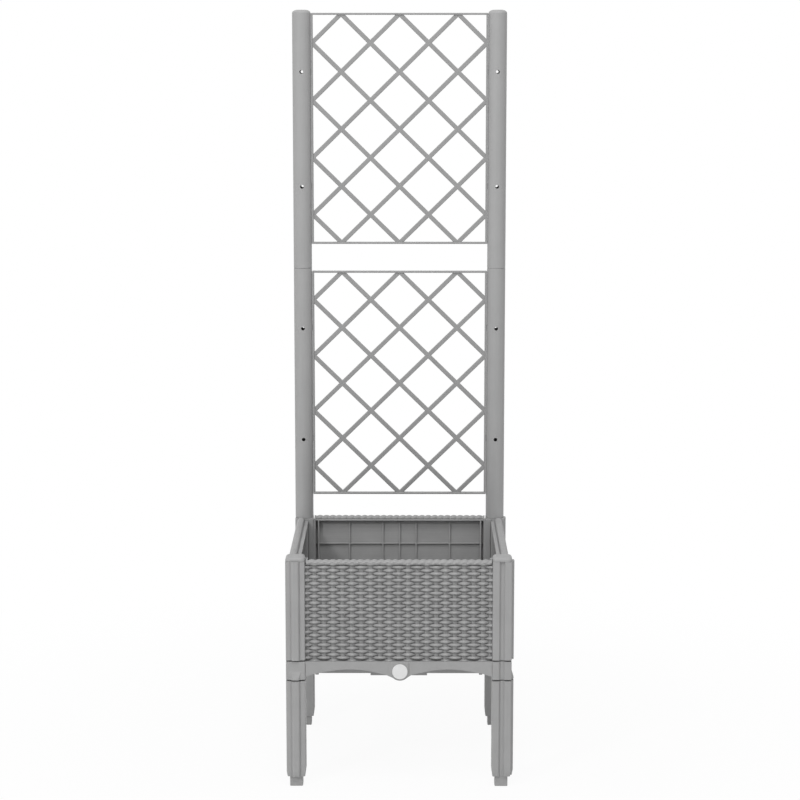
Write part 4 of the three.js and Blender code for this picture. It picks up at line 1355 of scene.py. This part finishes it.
@dataclass
class Studio:
    """Floor, backdrop, lamps and camera; places are in metres."""

    focal: float = 2258.2  # in pixels of an 800 pixel wide frame
    place: Point = (0.0142, -4.035, 1.302)  # of the camera
    pitch: float = 9.016  # downward, in degrees
    yaw: float = 0.209  # to the left, in degrees
    ambient: float = 0.536  # mean strength of the soft light from all round
    slant: float = 0.13  # how much stronger it is from the left than from the front
    aim: Point = (0.0, 0.0, 0.6)  # point that the lamps face
    floor_radius: float = 9000.0  # in millimetres
    floor_share: float = 0.94  # share of the backdrop's white in the floor near the planter
    floor_fade: tuple[float, float] = (0.3, 1.4)  # distances over which it becomes all white

    def camera(self) -> None:
        """Place the camera at the photograph's viewing angle."""
        data = bpy.data.cameras.new("view")
        data.sensor_width = 36.0
        data.lens = self.focal / 800.0 * data.sensor_width
        made = link("view", data)
        made.location = self.place
        made.rotation_euler = (math.radians(90.0 - self.pitch), 0.0, math.radians(self.yaw))
        bpy.context.scene.camera = made

    def world(self) -> None:
        """Even light, with a white backdrop for the camera and for reflections."""
        world = bpy.data.worlds.new("backdrop")
        bpy.context.scene.world = world
        graph = Graph(world)
        where = graph.node("ShaderNodeTexCoord", output="Generated")
        sideways = graph.node("ShaderNodeSeparateXYZ", {}, {"Vector": where}, "X")
        ambient = self.ambient - sideways * self.slant
        strength = self._seen(graph) * (1.0 - ambient) + ambient
        inputs = {"Color": WHITE, "Strength": strength}
        light = graph.node("ShaderNodeBackground", {}, inputs)
        graph.node("ShaderNodeOutputWorld", {}, {"Surface": light})

    def _seen(self, graph: Graph) -> Term:
        """Mask of rays that show the backdrop: from the camera, off gloss or through glass."""
        kinds = ("Is Camera Ray", "Is Glossy Ray", "Is Transmission Ray")
        camera, glossy, clear = (graph.node("ShaderNodeLightPath", output=kind) for kind in kinds)
        return (camera + glossy + clear).clamp()

    def floor(self) -> None:
        """Round pale floor that keeps the soft shadow and fades into the backdrop."""
        part = Moulding()
        bmesh.ops.create_circle(part.bm, cap_ends=True, segments=96, radius=self.floor_radius)
        mesh = part.finish("floor")
        material = bpy.data.materials.new("pale_floor")
        graph = Graph(material)
        length = {"operation": "LENGTH"}
        away = graph.node("ShaderNodeVectorMath", length, {0: graph.place()}, "Value")
        matt = graph.node("ShaderNodeBsdfDiffuse", {}, {"Color": (0.86, 0.86, 0.86, 1)})
        white = graph.node("ShaderNodeEmission", {}, {"Color": WHITE, "Strength": 1.0})
        near, faded = self.floor_share, away.ramp(*self.floor_fade)
        share = self._seen(graph) * (faded * (1.0 - near) + near)
        surface = graph.node("ShaderNodeMixShader", {}, {0: share, 1: matt, 2: white})
        graph.node("ShaderNodeOutputMaterial", {}, {"Surface": surface})
        mesh.materials.append(material)
        made = link("floor", mesh)

    def lamp(self, name: str, place: Point, size: float, power: float) -> None:
        """Add a square soft lamp that faces the planter.

        Args:
            name: Name of the lamp.
            place: Its place.
            size: Its side in metres.
            power: Its power in watts.
        """
        data = bpy.data.lights.new(name, "AREA")
        data.size, data.energy = size, power
        made = link(name, data)
        made.location = place
        aim = Vector(self.aim) - Vector(place)
        made.rotation_euler = aim.to_track_quat("-Z", "Y").to_euler()

    def build(self) -> None:
        """Set up the whole studio."""
        bpy.context.scene.view_settings.view_transform = "Standard"
        self.world()
        self.floor()
        self.lamp("key", (-2.3, -3.3, 3.1), 0.5, 43.5)
        self.lamp("top", (0.1, -2.0, 4.6), 1.8, 69.0)
        self.camera()


def main() -> None:
    """Build the planter, its trellis and the studio."""
    logging.basicConfig(level=logging.INFO, format="%(message)s")
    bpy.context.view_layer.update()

    box_plastic = MouldedPlastic("box_plastic", 163.0, Grain.UPRIGHT).material()
    tray_plastic = MouldedPlastic("tray_plastic", 163.0, Grain.EVEN).material()
    woven_plastic = MouldedPlastic("woven_plastic", 161.0, Grain.LEVEL, 6.0).material()
    pole_plastic = MouldedPlastic("pole_plastic", 166.0, Grain.UPRIGHT, 3.0).material()
    lattice_plastic = MouldedPlastic("lattice_plastic", 155.0, Grain.EVEN).material()
    plug_plastic = MouldedPlastic("plug_plastic", 232.0, Grain.EVEN, 2.0, 0.42).material()
    rubber = Rubber().material()

    columns = Columns()
    for corner in Corner:
        name = corner.name.lower()
        for kind, column in (("leg", columns.leg()), ("post", columns.post())):
            placed = columns.stand(column, corner)
            piece(placed, f"{kind}_{name}", f"{name}_{kind}", box_plastic, Slot.PLANTER)
    for corner in (Corner.FRONT_LEFT, Corner.FRONT_RIGHT):
        name = corner.name.lower()
        cap = CapShape().build(corner)
        piece(cap, f"cap_{name}", f"{name}_post_cap", box_plastic, Slot.PLANTER)

    tray = BaseTray(columns)
    piece(tray.build(), "tray", "base_tray", tray_plastic, Slot.PLANTER)
    plug = DrainPlug(tray)
    piece(plug.build(), "plug", "drain_plug", plug_plastic, Slot.PLUG, Body.PLUG)
    piece(plug.ring(), "seal", "drain_plug_seal", rubber, Slot.SEAL, Body.PLUG, flat=False)

    panel = WovenPanel().build()
    for side in Side:
        name = side.name.lower()
        turned = panel.copy().turn(side.value)
        piece(turned, f"panel_{name}", f"{name}_panel", woven_plastic, Slot.PLANTER, flat=False)

    for tier, level in enumerate(("lower", "upper")):
        for sign, hand in ((-1, "left"), (1, "right")):
            pole, node = Pole().build(sign, tier), f"{hand}_{level}_pole"
            piece(pole, f"pole_{hand}_{level}", node, pole_plastic, Slot.TRELLIS)
        lattice, node = Lattice().build(tier), f"{level}_lattice"
        piece(lattice, f"lattice_{level}", node, lattice_plastic, Slot.TRELLIS)

    Studio().build()


if __name__ == "__main__":
    main()
